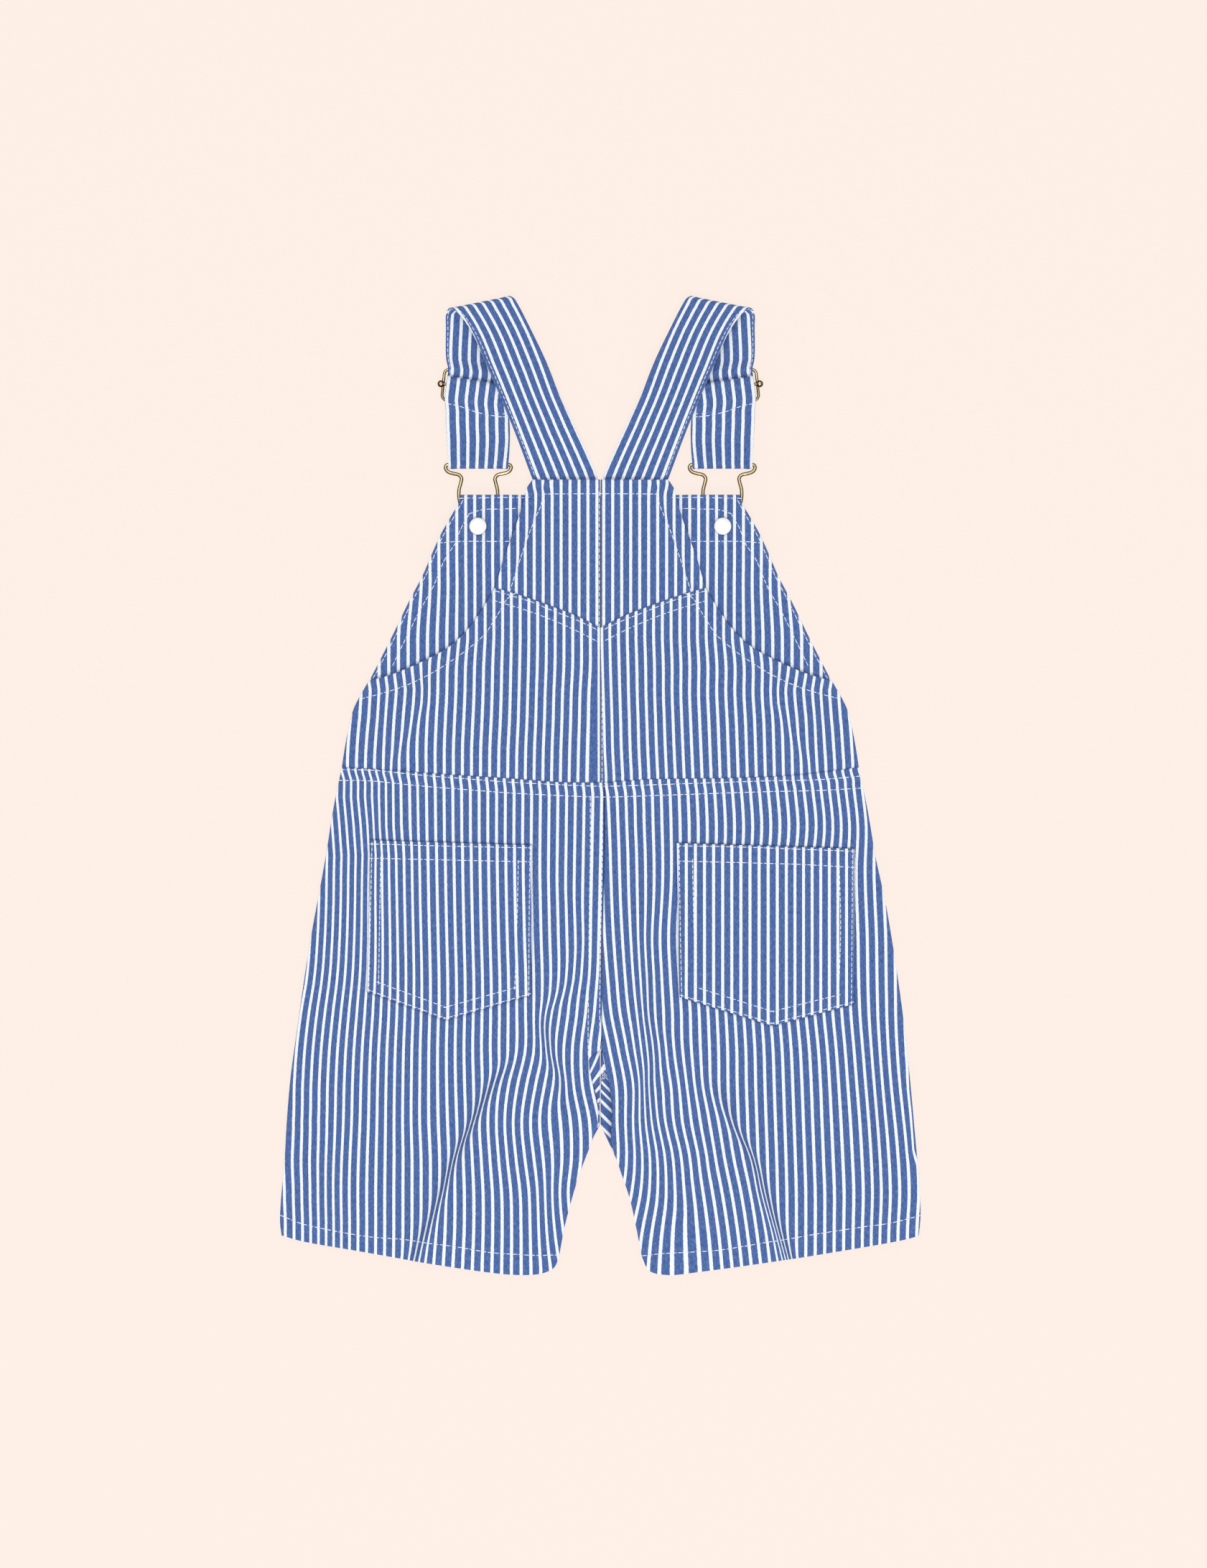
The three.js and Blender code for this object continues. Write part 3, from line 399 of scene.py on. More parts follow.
RIGHT_STRIPES = [
    (0, 106.1, 4.14, 4.46, 0, 52.0, 2.0, 0, 24.0, 6.0, 0, 43.0, 6.0),
    (-20, 108.0, 4.18, 4.54, 0, 52.0, 2.0, 1.1, 14.0, 6.0, 0, 43.0, 6.0),
    (-42, 105.8, 4.46, 4.39, 0, 52.0, 2.0, 0.4, 24.0, 6.0, 0, 43.0, 6.0),
    (-78, 105.8, 4.64, 4.48, 0, 52.0, 2.0, 4.0, 21.6, 2.9, 0, 43.0, 6.0),
    (-96, 106.2, 4.61, 4.45, 0, 52.0, 2.0, 4.3, 22.0, 2.9, 0, 43.0, 6.0),
    (-114, 107.3, 4.52, 4.45, 0, 51.0, 2.0, 4.9, 22.3, 1.8, 0, 43.0, 6.0),
    (-132, 109.1, 4.46, 4.54, 0, 50.0, 2.0, 9.0, 24.8, 4.0, 0, 43.0, 6.0),
    (-150, 110.2, 4.55, 4.64, 0.8, 55.0, 2.0, 9.0, 22.0, 2.2, 3.9, 42.8, 5.4),
    (-168, 110.9, 4.75, 4.66, 4.0, 65.2, 1.3, 9.4, 23.0, 4.0, 0.8, 48.0, 6.0),
    (-186, 111.6, 4.85, 4.68, 6.5, 76.3, 0.8, 7.0, 24.8, 6.5, 1.4, 52.0, 4.0),
    (-204, 112.3, 4.85, 4.75, 10.4, 81.4, 1.4, 2.5, 26.0, 5.0, 0, 42.0, 5.0),
    (-222, 112.3, 4.75, 4.75, 13.3, 87.8, 1.4, 0, 26.0, 5.0, -4.7, 42.8, 5.0),
    (-242, 112.3, 4.75, 4.75, 15.8, 95.0, 1.8, 0, 26.0, 5.0, -10, 41.0, 7.2),
]
SIDE_REACH = {-1: 8.0, 1: 0.0}  # this far outward of the counted stripe the inner pitch still holds
LEAN_REACH = 6.5
# y, then cloth taken, distance from the middle and width of two folds between the pocket and the side
OUTER_FOLDS = {
    -1: [(-6, -2.0, 97, 2.5, 0.2, 113, 2.5), (-20, -1.9, 97, 2.5, 1.7, 113, 2), (-35, -1.0, 98, 2.5, 2.2, 114, 3),
         (-56, -0.8, 97, 2.5, 1.7, 117, 3), (-81, -0.7, 97, 2.5, 1.0, 117, 3), (-96, -0.6, 98, 3, 0.7, 118, 3),
         (-114, 0, 98, 3, 0.2, 125, 5), (-150, 0, 98, 3, 0.4, 132, 5), (-168, 0, 98, 3, 0.9, 133, 5),
         (-182, 0, 98, 3, 2.7, 134, 5), (-200, 0, 98, 3, 4.2, 137, 5), (-218, 0, 98, 3, 5.0, 137, 6)],
    1: [(-110, 0, 137, 3, 0, 152, 1), (-130, 0.6, 137.5, 3, 0, 152, 1), (-140, 0.9, 137.8, 3, 0, 152, 1),
        (-152, 1.2, 138, 3, 1.0, 153, 1), (-165, 1.6, 138, 3, 1.5, 154.2, 1), (-182, 1.5, 138.6, 3, 2.6, 156, 1),
        (-190, 1.4, 139, 3, 0, 156, 1), (-242, 1.2, 138, 3, 0, 156, 1)],
}


# %% Counting a leg's stripes
def smooth_rows(rows, y):
    """Every column of a table at heights y, on a smooth curve through its rows."""
    table = np.array(rows, float)[::-1]
    at, values = table[:, 0], table[:, 1:]
    slope = np.gradient(values, at, axis=0)
    y = np.clip(y, at[0], at[-1])
    k = np.clip(np.searchsorted(at, y, side="right") - 1, 0, len(at) - 2)
    gap = at[k + 1] - at[k]
    t = ((y - at[k]) / gap)[..., None]
    gap = gap[..., None]
    value = (1 + 2 * t) * (1 - t) ** 2 * values[k] + t * t * (3 - 2 * t) * values[k + 1]
    value += gap * (t * (1 - t) ** 2 * slope[k] + t * t * (t - 1) * slope[k + 1])
    return np.moveaxis(value, -1, 0)


def outer_folds(x, y, side):
    """Cloth that the folds between the pocket and the side take up."""
    table = np.array(OUTER_FOLDS[side], float)[::-1]
    taken_out = np.zeros_like(x)
    for k in (1, 4):
        taken, at, wide = (np.interp(y, table[:, 0], table[:, k + column]) for column in range(3))
        taken_out += taken * soft_step((side * x - at) / wide)
    return taken_out


def leg_stripes(x, y, rows, side, count):
    """The stripe number at each point of a leg: `count` at its counted stripe."""
    below = np.interp(x, *zip(*(WAIST_LEFT + WAIST_RIGHT[1:]))) - y
    lean = 0.6 + 0.8 * smooth((np.abs(x) - 85) / 30)  # at the waist seam the stripes start this far to the left
    x = x + lean * (1 - smooth(below / LEAN_REACH))
    where, outer, inner, *creases = smooth_rows(rows, y)
    inward = side * (where - x)
    taken_in = np.zeros_like(x)
    for taken, at, wide in zip(creases[::3], creases[1::3], creases[2::3]):
        taken_in += taken * soft_step(side * (at - x) / np.maximum(wide, 0.6))
    outward, plain = np.maximum(-inward, 0), SIDE_REACH[side]
    counted_in = (np.maximum(inward, 0) + taken_in) / inner
    counted_out = np.minimum(outward, plain) / inner
    counted_out += (np.maximum(outward - plain, 0) + outer_folds(x, y, side)) / outer
    return count + side * (counted_out - counted_in)


def straight_stripes(x, first, pitch):
    return (x - first) / pitch


across_leg = leg_stripes(np.array([-150.0, -10.0]), np.full(2, -100.0), LEFT_STRIPES, -1, 0)
print(f"{np.ptp(across_leg):.1f} stripes across 140 mm of the left leg")

# %% Stripe counts above the waist
BIB_STRIPES = [  # y, first white stripe on the left and on the right, pitch near the middle, pitch beyond it
    (73.4, 5.0, 4.7, 4.39, 4.38), (59.8, 5.0, 5.0, 4.42, 4.53), (46.1, 5.8, 5.4, 4.36, 4.54),
    (32.4, 6.1, 5.8, 4.37, 4.58), (18.7, 6.5, 6.1, 4.40, 4.56), (5.0, 6.8, 6.8, 4.39, 4.53),
]
BIB_MIDDLE = 45.0


def back_bib_stripes(x, y):
    """Counted outward from a stripe cut by the centre seam; two small folds by the armhole take up cloth."""
    half = np.abs(x)
    first_left, first_right, near, beyond = smooth_rows(BIB_STRIPES, y)
    first = np.where(x < 0, first_left, first_right)
    centre = np.where(x < 0, np.interp(y, [0, 75], [0.2, 0.7]), first - 3.9)
    fold = np.interp(-y, [-60, -41, -27, -12, 0], [88, 88, 95, 104, 108])
    taken = np.interp(-y, [-62, -48, -12, 2], [0, 1.9, 1.5, 1.0])
    second = np.interp(y, [12, 34, 50], [0.0, 1.0, 0.4]) * soft_step((half - 109) / 1.5)
    outside = np.maximum(half - BIB_MIDDLE, 0) + taken * soft_step((half - fold) / 1.6) + second
    count = 1 + (np.minimum(half, BIB_MIDDLE) - first) / near + outside / beyond
    count = np.where(half < first, (half - centre) / (first - centre), count)
    return np.where(x < 0, -count, count)


def front_bib_stripes(x, y):
    """Straight, but pulled outward a little below the armholes."""
    pulled = 0.075 * np.maximum(np.abs(x) - 68, 0) * smooth((104 - y) / 32)
    return straight_stripes(x - np.sign(x) * pulled, -67.3, BIB_REPEAT)


def yoke_stripes(x, y):
    """They step inward where the side hem is folded over, and outward at the top."""
    half = np.abs(x)
    inside = np.interp(-y, *zip(*[(-row, edge) for edge, row in YOKE_SIDE])) - half
    moved = 0.8 * smooth((8.6 - inside) / 2) - smooth((y - 145) / 6) * smooth((half - 22) / 6)
    return np.sign(x) * straight_stripes(half + moved, 1.7, np.where(x < 0, BIB_REPEAT, 4.5))


across_bib = back_bib_stripes(np.array([-100.0, 100.0]), np.full(2, 40.0))
print(f"{np.ptp(across_bib):.1f} stripes across 200 mm of the back bib")

# %% [markdown]
# ## Making a fine panel
# A panel is a thin closed shell: an outer and an inner net joined by a rim. Its
# net is closer near the edges, where the cloth turns over and its thickness
# rounds off. A Solidify modifier would give square edges, and these edges are
# what catches the light along every seam.

# %% Net helpers
EDGE_STEPS = [0.0, 0.12, 0.3, 0.55, 0.85, 1.3]
NET = 1.25


def spread(length, spacing=NET):
    """Fractions along an edge: close at both ends, even between them."""
    inner = np.linspace(EDGE_STEPS[-1], length - EDGE_STEPS[-1], max(int(length / spacing), 4))
    ends = np.array(EDGE_STEPS[:-1])
    return np.concatenate([ends, inner, (length - ends)[::-1]]) / length


def run_length(net, axis):
    steps = np.linalg.norm(np.diff(net, axis=axis), axis=2)
    start = np.zeros_like(steps[:, :1] if axis else steps[:1])
    return np.cumsum(np.concatenate([start, steps], axis=axis), axis=axis)


def edge_distances(net):
    across, down = run_length(net, 1), run_length(net, 0)
    return {"left": across, "right": across[:, -1:] - across, "top": down, "bottom": down[-1:] - down}


def cross(a, b):
    return a[..., 0] * b[..., 1] - a[..., 1] * b[..., 0]


def band(away, width, height, fall=1.6):
    """Extra height of a turned hem or felled seam, for `width` from its edge."""
    return height * (1 - smooth((away - width) / fall))


def sewn_down(away, depth=0.35):
    """The cloth dips towards a seam that holds it down."""
    return depth * (1 - smooth(away / 4))


print("net steps at an edge, mm:", np.diff(EDGE_STEPS).round(2).tolist())


# %% A mesh that carries its stripes
def make_mesh(name, points, faces, stripes=None, material=None, shade=None):
    mesh = bpy.data.meshes.new(name)
    points, faces = np.asarray(points, float), np.asarray(faces, np.int32)
    mesh.vertices.add(len(points))
    mesh.vertices.foreach_set("co", (points * MM).ravel())
    mesh.loops.add(faces.size)
    mesh.loops.foreach_set("vertex_index", faces.ravel())
    mesh.polygons.add(len(faces))
    mesh.polygons.foreach_set("loop_start", np.arange(0, faces.size, faces.shape[1], dtype=np.int32))
    mesh.polygons.foreach_set("loop_total", np.full(len(faces), faces.shape[1], np.int32))
    mesh.polygons.foreach_set("use_smooth", np.ones(len(faces), bool))
    if stripes is not None:
        uv = mesh.uv_layers.new(name="stripes")
        uv.data.foreach_set("uv", np.asarray(stripes, float)[faces.ravel()].ravel())
        # painted shade for the twill: 1 leaves the colour as it is, less is darker
        tone = mesh.attributes.new("shade", "FLOAT", "POINT")
        tone.data.foreach_set("value", np.ones(len(points)) if shade is None else np.asarray(shade, float))
    mesh.update(calc_edges=True)
    mesh.validate()
    if material:
        mesh.materials.append(material)
    piece = bpy.data.objects.new(name, mesh)
    bpy.context.collection.objects.link(piece)
    return piece


# %% The panel maker
def shell_faces(rows, columns, flip=False):
    """Quads of an upper net, a lower net and the rim between them."""
    ids = np.arange(rows * columns).reshape(rows, columns)
    low = ids + rows * columns
    upper = np.stack([ids[:-1, :-1], ids[1:, :-1], ids[1:, 1:], ids[:-1, 1:]], -1).reshape(-1, 4)
    lower = np.stack([low[:-1, :-1], low[:-1, 1:], low[1:, 1:], low[1:, :-1]], -1).reshape(-1, 4)
    ring = np.concatenate([ids[0, :-1], ids[:-1, -1], ids[-1, :0:-1], ids[:0:-1, 0]])
    after = np.roll(ring, -1)
    rim = np.stack([ring, after, after + rows * columns, ring + rows * columns], -1)
    faces = np.vstack([upper, lower, rim])
    return faces[:, ::-1] if flip else faces


def cloth_panel(name, net, under, count, thickness=CLOTH, extra=None, size=(130, 90), spacing=NET, shade=None,
                upper_count=None):
    """A closed shell on a net, `size` mm across and down, with its counted stripes as its UV map."""
    grid = net(spread(size[0], spacing), spread(size[1], spacing))
    x, y = grid[..., 0], grid[..., 1]
    away = edge_distances(grid)
    low = under(x, y) + (extra(x, y, away) if extra else 0)
    nearest = np.minimum.reduce(list(away.values()))
    round_off = np.sqrt(1 - (1 - np.clip(nearest / (0.75 * thickness), 0, 1)) ** 2)
    half = thickness / 2 * np.maximum(round_off, 0.2)
    middle = low + thickness / 2
    points = [np.column_stack([x.ravel(), y.ravel(), (middle + s * half).ravel()]) for s in (1, -1)]
    stripes = [np.column_stack([side_count(x, y).ravel(), y.ravel()]) for side_count in (upper_count or count, count)]
    clockwise = cross(grid[0, 1] - grid[0, 0], grid[1, 0] - grid[0, 0]) > 0
    faces = shell_faces(*x.shape, flip=clockwise)
    tone = np.tile((shade(x, y) if shade else np.ones_like(x)).ravel(), 2)
    piece = make_mesh(name, np.vstack(points), faces, np.vstack(stripes), twill, tone)
    return piece


# %% [markdown]
# ## Striped cotton twill
# The cloth is yarn-dyed: blue and white threads run down it in turn, and every
# thread is a little uneven. It could be one flat stripe texture, but then the
# blue would look printed. Here the stripe's edge wavers by a thread, the blue is
# mottled, and a fine diagonal rib shows in the bump and the colour.

# %% Material helpers
def colour(hex_code):
    """An sRGB hex colour as the linear values that a shader wants."""
    parts = [int(hex_code[k : k + 2], 16) / 255 for k in (1, 3, 5)]
    return [p / 12.92 if p <= 0.04045 else ((p + 0.055) / 1.055) ** 2.4 for p in parts] + [1.0]


def add(tree, kind, inputs=None, **settings):
    """Add a node; an input is given a value or, if it is a socket, a link."""
    node = tree.nodes.new(kind)
    for key, value in settings.items():
        setattr(node, key, value)
    for key, value in (inputs or {}).items():
        if isinstance(value, bpy.types.NodeSocket):
            tree.links.new(value, node.inputs[key])
        else:
            node.inputs[key].default_value = value
    return node


def new_material(name):
    material = bpy.data.materials.new(name)
    material.use_nodes = True
    shader = material.node_tree.nodes["Principled BSDF"]
    return material, material.node_tree, shader


print("mid blue, linear:", [round(v, 3) for v in colour("#4A67A3")])


# %% Striped twill
BLUE_DARK, BLUE, BLUE_LIGHT = "#3A5695", "#4A67A3", "#627DB2"
WHITE_YARN, WHITE_SHADE = "#FAFDFF", "#E6EEF8"
WHITE_HALF = 0.162  # half of a white stripe, as a share of the repeat


def make_twill(name):
    """Yarn-dyed twill: matt, with soft white stripes, streaky blue and a fine slanting rib."""
    material, tree, shader = new_material(name)
    uv = add(tree, "ShaderNodeUVMap", uv_map="stripes")
    split = add(tree, "ShaderNodeSeparateXYZ", {0: uv.outputs[0]})
    across = add(tree, "ShaderNodeMath", {0: split.outputs[0], 1: REPEAT}, operation="MULTIPLY")
    cloth = add(tree, "ShaderNodeCombineXYZ", {0: across.outputs[0], 1: split.outputs[1]})

    def noise(scale, stretch, detail=2.0):
        place = add(tree, "ShaderNodeMapping", {0: cloth.outputs[0], 3: stretch})
        return add(tree, "ShaderNodeTexNoise", {"Vector": place.outputs[0], "Scale": scale, "Detail": detail})

    # the stripe's edge wavers by about a thread, 0.25 mm
    waver = noise(1.1, (1.0, 0.8, 1.0)).outputs[0]
    shift = add(tree, "ShaderNodeMapRange", {0: waver, 3: -0.035, 4: 0.035})
    moved = add(tree, "ShaderNodeMath", {0: split.outputs[0], 1: shift.outputs[0]}, operation="ADD")
    nearest = add(tree, "ShaderNodeMath", {0: moved.outputs[0], 1: 0.5}, operation="PINGPONG")
    stripe = add(tree, "ShaderNodeMapRange",
                 {0: nearest.outputs[0], 1: WHITE_HALF - 0.025, 2: WHITE_HALF + 0.025, 3: 1.0, 4: 0.0},
                 interpolation_type="SMOOTHSTEP")

    # mottling of the dyed yarn, in streaks 0.7 mm wide and 2 mm long that follow the thread
    streak = noise(0.9, (1.6, 0.5, 1.0), 4.0).outputs[0]
    blues = add(tree, "ShaderNodeValToRGB", {0: streak})
    stops = blues.color_ramp.elements
    stops[0].position, stops[0].color = 0.3, colour(BLUE_DARK)
    stops[1].position, stops[1].color = 0.72, colour(BLUE_LIGHT)
    middle = stops.new(0.5)
    middle.color = colour(BLUE)
    whites = add(tree, "ShaderNodeMix", {0: streak, 6: colour(WHITE_SHADE), 7: colour(WHITE_YARN)}, data_type="RGBA")
    both = add(tree, "ShaderNodeMix", {0: stripe.outputs[0], 6: blues.outputs[0], 7: whites.outputs[2]},
               data_type="RGBA")

    # twill rib: real ribs are 0.5 mm apart; drawn 1.1 mm apart so that they show
    rib = add(tree, "ShaderNodeTexWave", {"Vector": cloth.outputs[0], "Scale": 0.29, "Distortion": 0.6,
                                          "Detail": 1.0, "Detail Scale": 2.0},
              bands_direction="DIAGONAL", wave_profile="SIN")
    fibre = noise(3.2, (1.0, 1.0, 1.0), 3.0).outputs[0]  # loose fibres, 0.3 mm
    relief = add(tree, "ShaderNodeMath", {0: rib.outputs[1], 1: 0.5, 2: fibre}, operation="MULTIPLY_ADD")
    tone = add(tree, "ShaderNodeMapRange", {0: relief.outputs[0], 1: 0.2, 2: 1.3, 3: 0.90, 4: 1.07})
    # painted shade: the piece's "shade" attribute darkens the colour in crease valleys, beside lapped edges and in the
    # crotch gap
    painted_shade = add(tree, "ShaderNodeAttribute", attribute_name="shade")
    tone = add(tree, "ShaderNodeMath", {0: tone.outputs[0], 1: painted_shade.outputs["Fac"]}, operation="MULTIPLY")
    scaled = add(tree, "ShaderNodeVectorMath", {0: both.outputs[2], 3: tone.outputs[0]}, operation="SCALE")
    bump = add(tree, "ShaderNodeBump", {"Strength": 0.35, "Distance": 0.0002, "Height": relief.outputs[0]})
    tree.links.new(scaled.outputs[0], shader.inputs["Base Color"])
    tree.links.new(bump.outputs[0], shader.inputs["Normal"])
    shader.inputs["Roughness"].default_value = 0.86
    shader.inputs["Sheen Weight"].default_value = 0.12
    shader.inputs["Sheen Roughness"].default_value = 0.5
    shader.inputs["Specular IOR Level"].default_value = 0.2
    return material


twill = make_twill("yarn_dyed_cotton_twill")
print(f"{twill.name}: {len(twill.node_tree.nodes)} nodes")

# %% [markdown]
# ## Thread, brass and enamel
# The seams are sewn in a spun white thread. The wires are brass that has
# darkened a little, with a painted highlight along their tops and painted
# shade on their flanks. The backs of the tack buttons have a glossy white
# enamel with a thin rim of bare metal.

# %% Other finishes
def make_thread():
    """Spun polyester: matt, a little blue in its twist; the fuzz is 0.4 mm."""
    material, tree, shader = new_material("spun_polyester_thread")
    place = add(tree, "ShaderNodeTexCoord")
    fuzz = add(tree, "ShaderNodeTexNoise", {"Vector": place.outputs["Object"], "Scale": 2500.0})
    tint = add(tree, "ShaderNodeMix", {0: fuzz.outputs[0], 6: colour("#D5E3F8"), 7: colour("#FFFFFF")},
               data_type="RGBA")
    tree.links.new(tint.outputs[2], shader.inputs["Base Color"])
    shader.inputs["Roughness"].default_value = 0.7
    return material


def make_brass():
    """Drawn brass wire: dark brown flanks as painted shade, a light top as a painted highlight; the patina's patches
    are 3 mm.
    """
    material, tree, shader = new_material("antiqued_brass_with_painted_highlight")
    place = add(tree, "ShaderNodeTexCoord")
    patina = add(tree, "ShaderNodeTexNoise", {"Vector": place.outputs["Object"], "Scale": 350.0, "Detail": 4.0})
    # painted highlight and shade: by the normal alone, faces that point up take the light brass and the flanks the dark
    # brown
    way = add(tree, "ShaderNodeNewGeometry")
    up = add(tree, "ShaderNodeSeparateXYZ", {0: way.outputs["Normal"]})
    painted_top_highlight = add(tree, "ShaderNodeMapRange", {0: up.outputs[2], 1: 0.78, 2: 0.98}, interpolation_type="SMOOTHSTEP")
    dull = add(tree, "ShaderNodeMix", {0: patina.outputs[0], 6: colour("#2A1D0A"), 7: colour("#5E4A28")},
               data_type="RGBA")
    bright = add(tree, "ShaderNodeMix", {0: patina.outputs[0], 6: colour("#A88F60"), 7: colour("#F6E4BC")},
                 data_type="RGBA")
    tint = add(tree, "ShaderNodeMix", {0: painted_top_highlight.outputs[0], 6: dull.outputs[2], 7: bright.outputs[2]},
               data_type="RGBA")
    rough = add(tree, "ShaderNodeMapRange", {0: patina.outputs[0], 3: 0.2, 4: 0.38})
    bump = add(tree, "ShaderNodeBump", {"Strength": 0.08, "Distance": 0.0001, "Height": patina.outputs[0]})
    tree.links.new(tint.outputs[2], shader.inputs["Base Color"])
    tree.links.new(rough.outputs[0], shader.inputs["Roughness"])
    tree.links.new(bump.outputs[0], shader.inputs["Normal"])
    shader.inputs["Metallic"].default_value = 1.0
    return material


def make_enamel():
    """Baked enamel: white and glossy, with a slight flow in its coat every 1.7 mm."""
    material, tree, shader = new_material("white_baked_enamel")
    place = add(tree, "ShaderNodeTexCoord")
    flow = add(tree, "ShaderNodeTexNoise", {"Vector": place.outputs["Object"], "Scale": 600.0})
    tint = add(tree, "ShaderNodeMix", {0: flow.outputs[0], 6: colour("#F7F7F4"), 7: colour("#FFFFFF")},
               data_type="RGBA")
    bump = add(tree, "ShaderNodeBump", {"Strength": 0.05, "Distance": 0.0001, "Height": flow.outputs[0]})
    tree.links.new(tint.outputs[2], shader.inputs["Base Color"])
    tree.links.new(bump.outputs[0], shader.inputs["Normal"])
    shader.inputs["Roughness"].default_value = 0.25
    shader.inputs["Coat Weight"].default_value = 0.4
    return material


thread, brass, enamel = make_thread(), make_brass(), make_enamel()
print("finishes:", ", ".join(material.name for material in (twill, thread, brass, enamel)))

# %% [markdown]
# ## Front panels
# The front lies face down, so it is plain from above and flat on the table.
# Its bib is lifted where the buckle and button press under it.

# %% Front bib
pieces = {}
shifted_waist = joined(curve(WAIST_LEFT, 0, SEAM / 2), curve(WAIST_RIGHT, 0, SEAM / 2), 0.5)
bib_net = spanned(
    straight(*[(side * BIB_SIDE[0][0], BIB_TOP) for side in (-1, 1)]),
    shifted_waist,
    *[curve(sided(BIB_SIDE + UNDERARM_SIDE[1:], side)) for side in (-1, 1)],
)
pieces["front_bib"] = cloth_panel(
    "front_bib_cloth", bib_net, lambda x, y: front_under(x, y) + fold_height(x, y, FRONT_CREASES), front_bib_stripes,
    size=(250, 150), spacing=1.8)

# %% Front legs
LEGS = {
    "left": dict(side=-1, outer=LEG_SIDE_LEFT, hem=HEM_LEFT, inner=INNER_LEG_LEFT, crotch=CROTCH_LEFT, top=WAIST_LEFT,
                 pocket=POCKET_LEFT, rows=LEFT_STRIPES, count=-19),
    "right": dict(side=1, outer=LEG_SIDE_RIGHT, hem=HEM_RIGHT, inner=INNER_LEG_RIGHT, crotch=CROTCH_RIGHT,
                  top=WAIST_RIGHT[::-1], pocket=POCKET_RIGHT, rows=RIGHT_STRIPES, count=24),
}
FRONT_SEAT_SHARE, BACK_SEAT_SHARE = 5 / 7, 13 / 24  # the centre seam's share of a leg's inner edge
# where stripes cross the middle of the gap between the back legs: height, count
LEFT_OF_GAP = [(-175, -6), (-169, -5), (-163, -4), (-157, -3), (-151, -2), (-144.1, -1), (-132, 0), (-120, 1)]
RIGHT_OF_GAP = [(-182, -6), (-176.7, -5), (-170.7, -4), (-164.5, -3), (-157.5, -2), (-152.6, -1), (-148.2, 0),
                (-143, 1)]
LEFT_SLANT = [(-157, 1.0), (-145, 1.1), (-134, 2.6)]
CROTCH_DARK = 0.32


def front_leg_stripes(x, y):
    return straight_stripes(x, 0.4, REPEAT)


def in_gap(x, y):
    """Where the crotch shows between the back legs."""
    return (x > -7) & (x < 9) & (y > -190) & (y < -126)


def crotch_stripes(x, y):
    """Between the back legs the turned-in cloth of the crotch shows, its stripes slanting off the seam."""
    slant = np.interp(y - 1.5 * x, *zip(*LEFT_SLANT))
    left = np.interp(y - slant * x, *zip(*LEFT_OF_GAP))
    right = np.interp(y + x, *zip(*RIGHT_OF_GAP))
    turned = np.where(x < np.interp(y, [-163, -148, -146, -145], [-0.7, 0.5, 1.5, 9.0]), left, right)
    return np.where(in_gap(x, y), turned, front_leg_stripes(x, y))


def crotch_shade(x, y):
    """The turned cloth lies in the shade of the right leg."""
    depth = smooth((x - 1.5) / 4.5) * smooth((-138 - y) / 10)
    return np.where(in_gap(x, y), 1.0 - CROTCH_DARK * depth, 1.0)


for name, leg in LEGS.items():
    centre = leg["side"] * SEAM / 2
    net = spanned(
        curve(leg["top"], centre, -SEAM / 2),
        curve(leg["hem"], 0, FRONT_INSET),
        curve(leg["outer"], -leg["side"] * FRONT_INSET, 0),
        joined(straight((centre, WAIST_MIDDLE), (centre, SEAT_POINT)), curve([(centre, SEAT_POINT)] + leg["inner"]),
               FRONT_SEAT_SHARE),
    )
    pieces[f"front_leg_{name}"] = cloth_panel(
        f"front_leg_{name}_cloth", net, lambda x, y: fold_height(x, y, FRONT_CREASES), front_leg_stripes,
        size=(150, 250), spacing=1.9, shade=crotch_shade, upper_count=crotch_stripes)

# %% [markdown]
# ## Back legs
# These carry the creases, the felled seat seam and the hems. A hem is cloth
# turned up twice, so the shell is thicker along it.

# %% Back legs
# width and height of each turned or felled edge
HEM_BAND, WAIST_BAND, SEAT_BAND = (10.2, 0.35), (5.6, 0.35), (7.2, 0.35)
CROTCH = np.array([(0.7, -132.0)] + CROTCH_LEFT[:2] + CROTCH_RIGHT[:2])


def leg_extra(x, y, away):
    seat = band(away["right"], *SEAT_BAND) * smooth((y + 152) / 22) * (x < SEAT_SEAM[0][0])
    hem = band(away["bottom"], *HEM_BAND)
    top = band(away["top"], *WAIST_BAND)
    creases = crease_height(x, y) * smooth(away["bottom"] / 3 + 0.4)
    return np.maximum.reduce([seat, hem, top]) + creases - sewn_down(distance(x, y, CROTCH), 0.4)


for name, leg in LEGS.items():
    apart = leg["side"] * SEAM / 2
    seat = [(x + apart, y) for x, y in SEAT_SEAM]
    net = spanned(
        curve(leg["top"][:-1] + [seat[0]], 0, -SEAM / 2 + WAIST_LAP),
        curve(leg["hem"]),
        curve(leg["outer"]),
        joined(curve(seat), curve([seat[-1]] + leg["crotch"] + leg["inner"]), BACK_SEAT_SHARE),
    )
    stripes = lambda x, y, leg=leg: leg_stripes(x, y, leg["rows"], leg["side"], leg["count"])
    top_out, top_in, low_out, low_in, point = leg["pocket"]
    around = [top_out, top_in, low_in, point, low_out, top_out]
    shade = lambda x, y, around=around: (
        crease_shade(x, y) * line_shade(x, y, around, EDGE_DARK, POCKET_EDGE_WIDTH))
    pieces[f"back_leg_{name}"] = cloth_panel(
        f"back_leg_{name}_cloth", net, back_under, stripes, extra=leg_extra, size=(142, 252), spacing=1.15, shade=shade)

# %% Patch pockets on the back
POCKET_TOP_BAND, POCKET_EDGE_BAND = (8.0, 0.25), (5.2, 0.2)


def left_pocket_stripes(x, y):
    """The left pocket's stripes meet those of its leg."""
    return leg_stripes(x - 0.35, y, LEFT_STRIPES, -1, LEGS["left"]["count"])


def right_pocket_stripes(x, y):
    """The right pocket is cut a little off its leg's stripes."""
    return (np.minimum(x, 93) - 79.4) / 4.55 + np.maximum(x - 93, 0) / 4.30


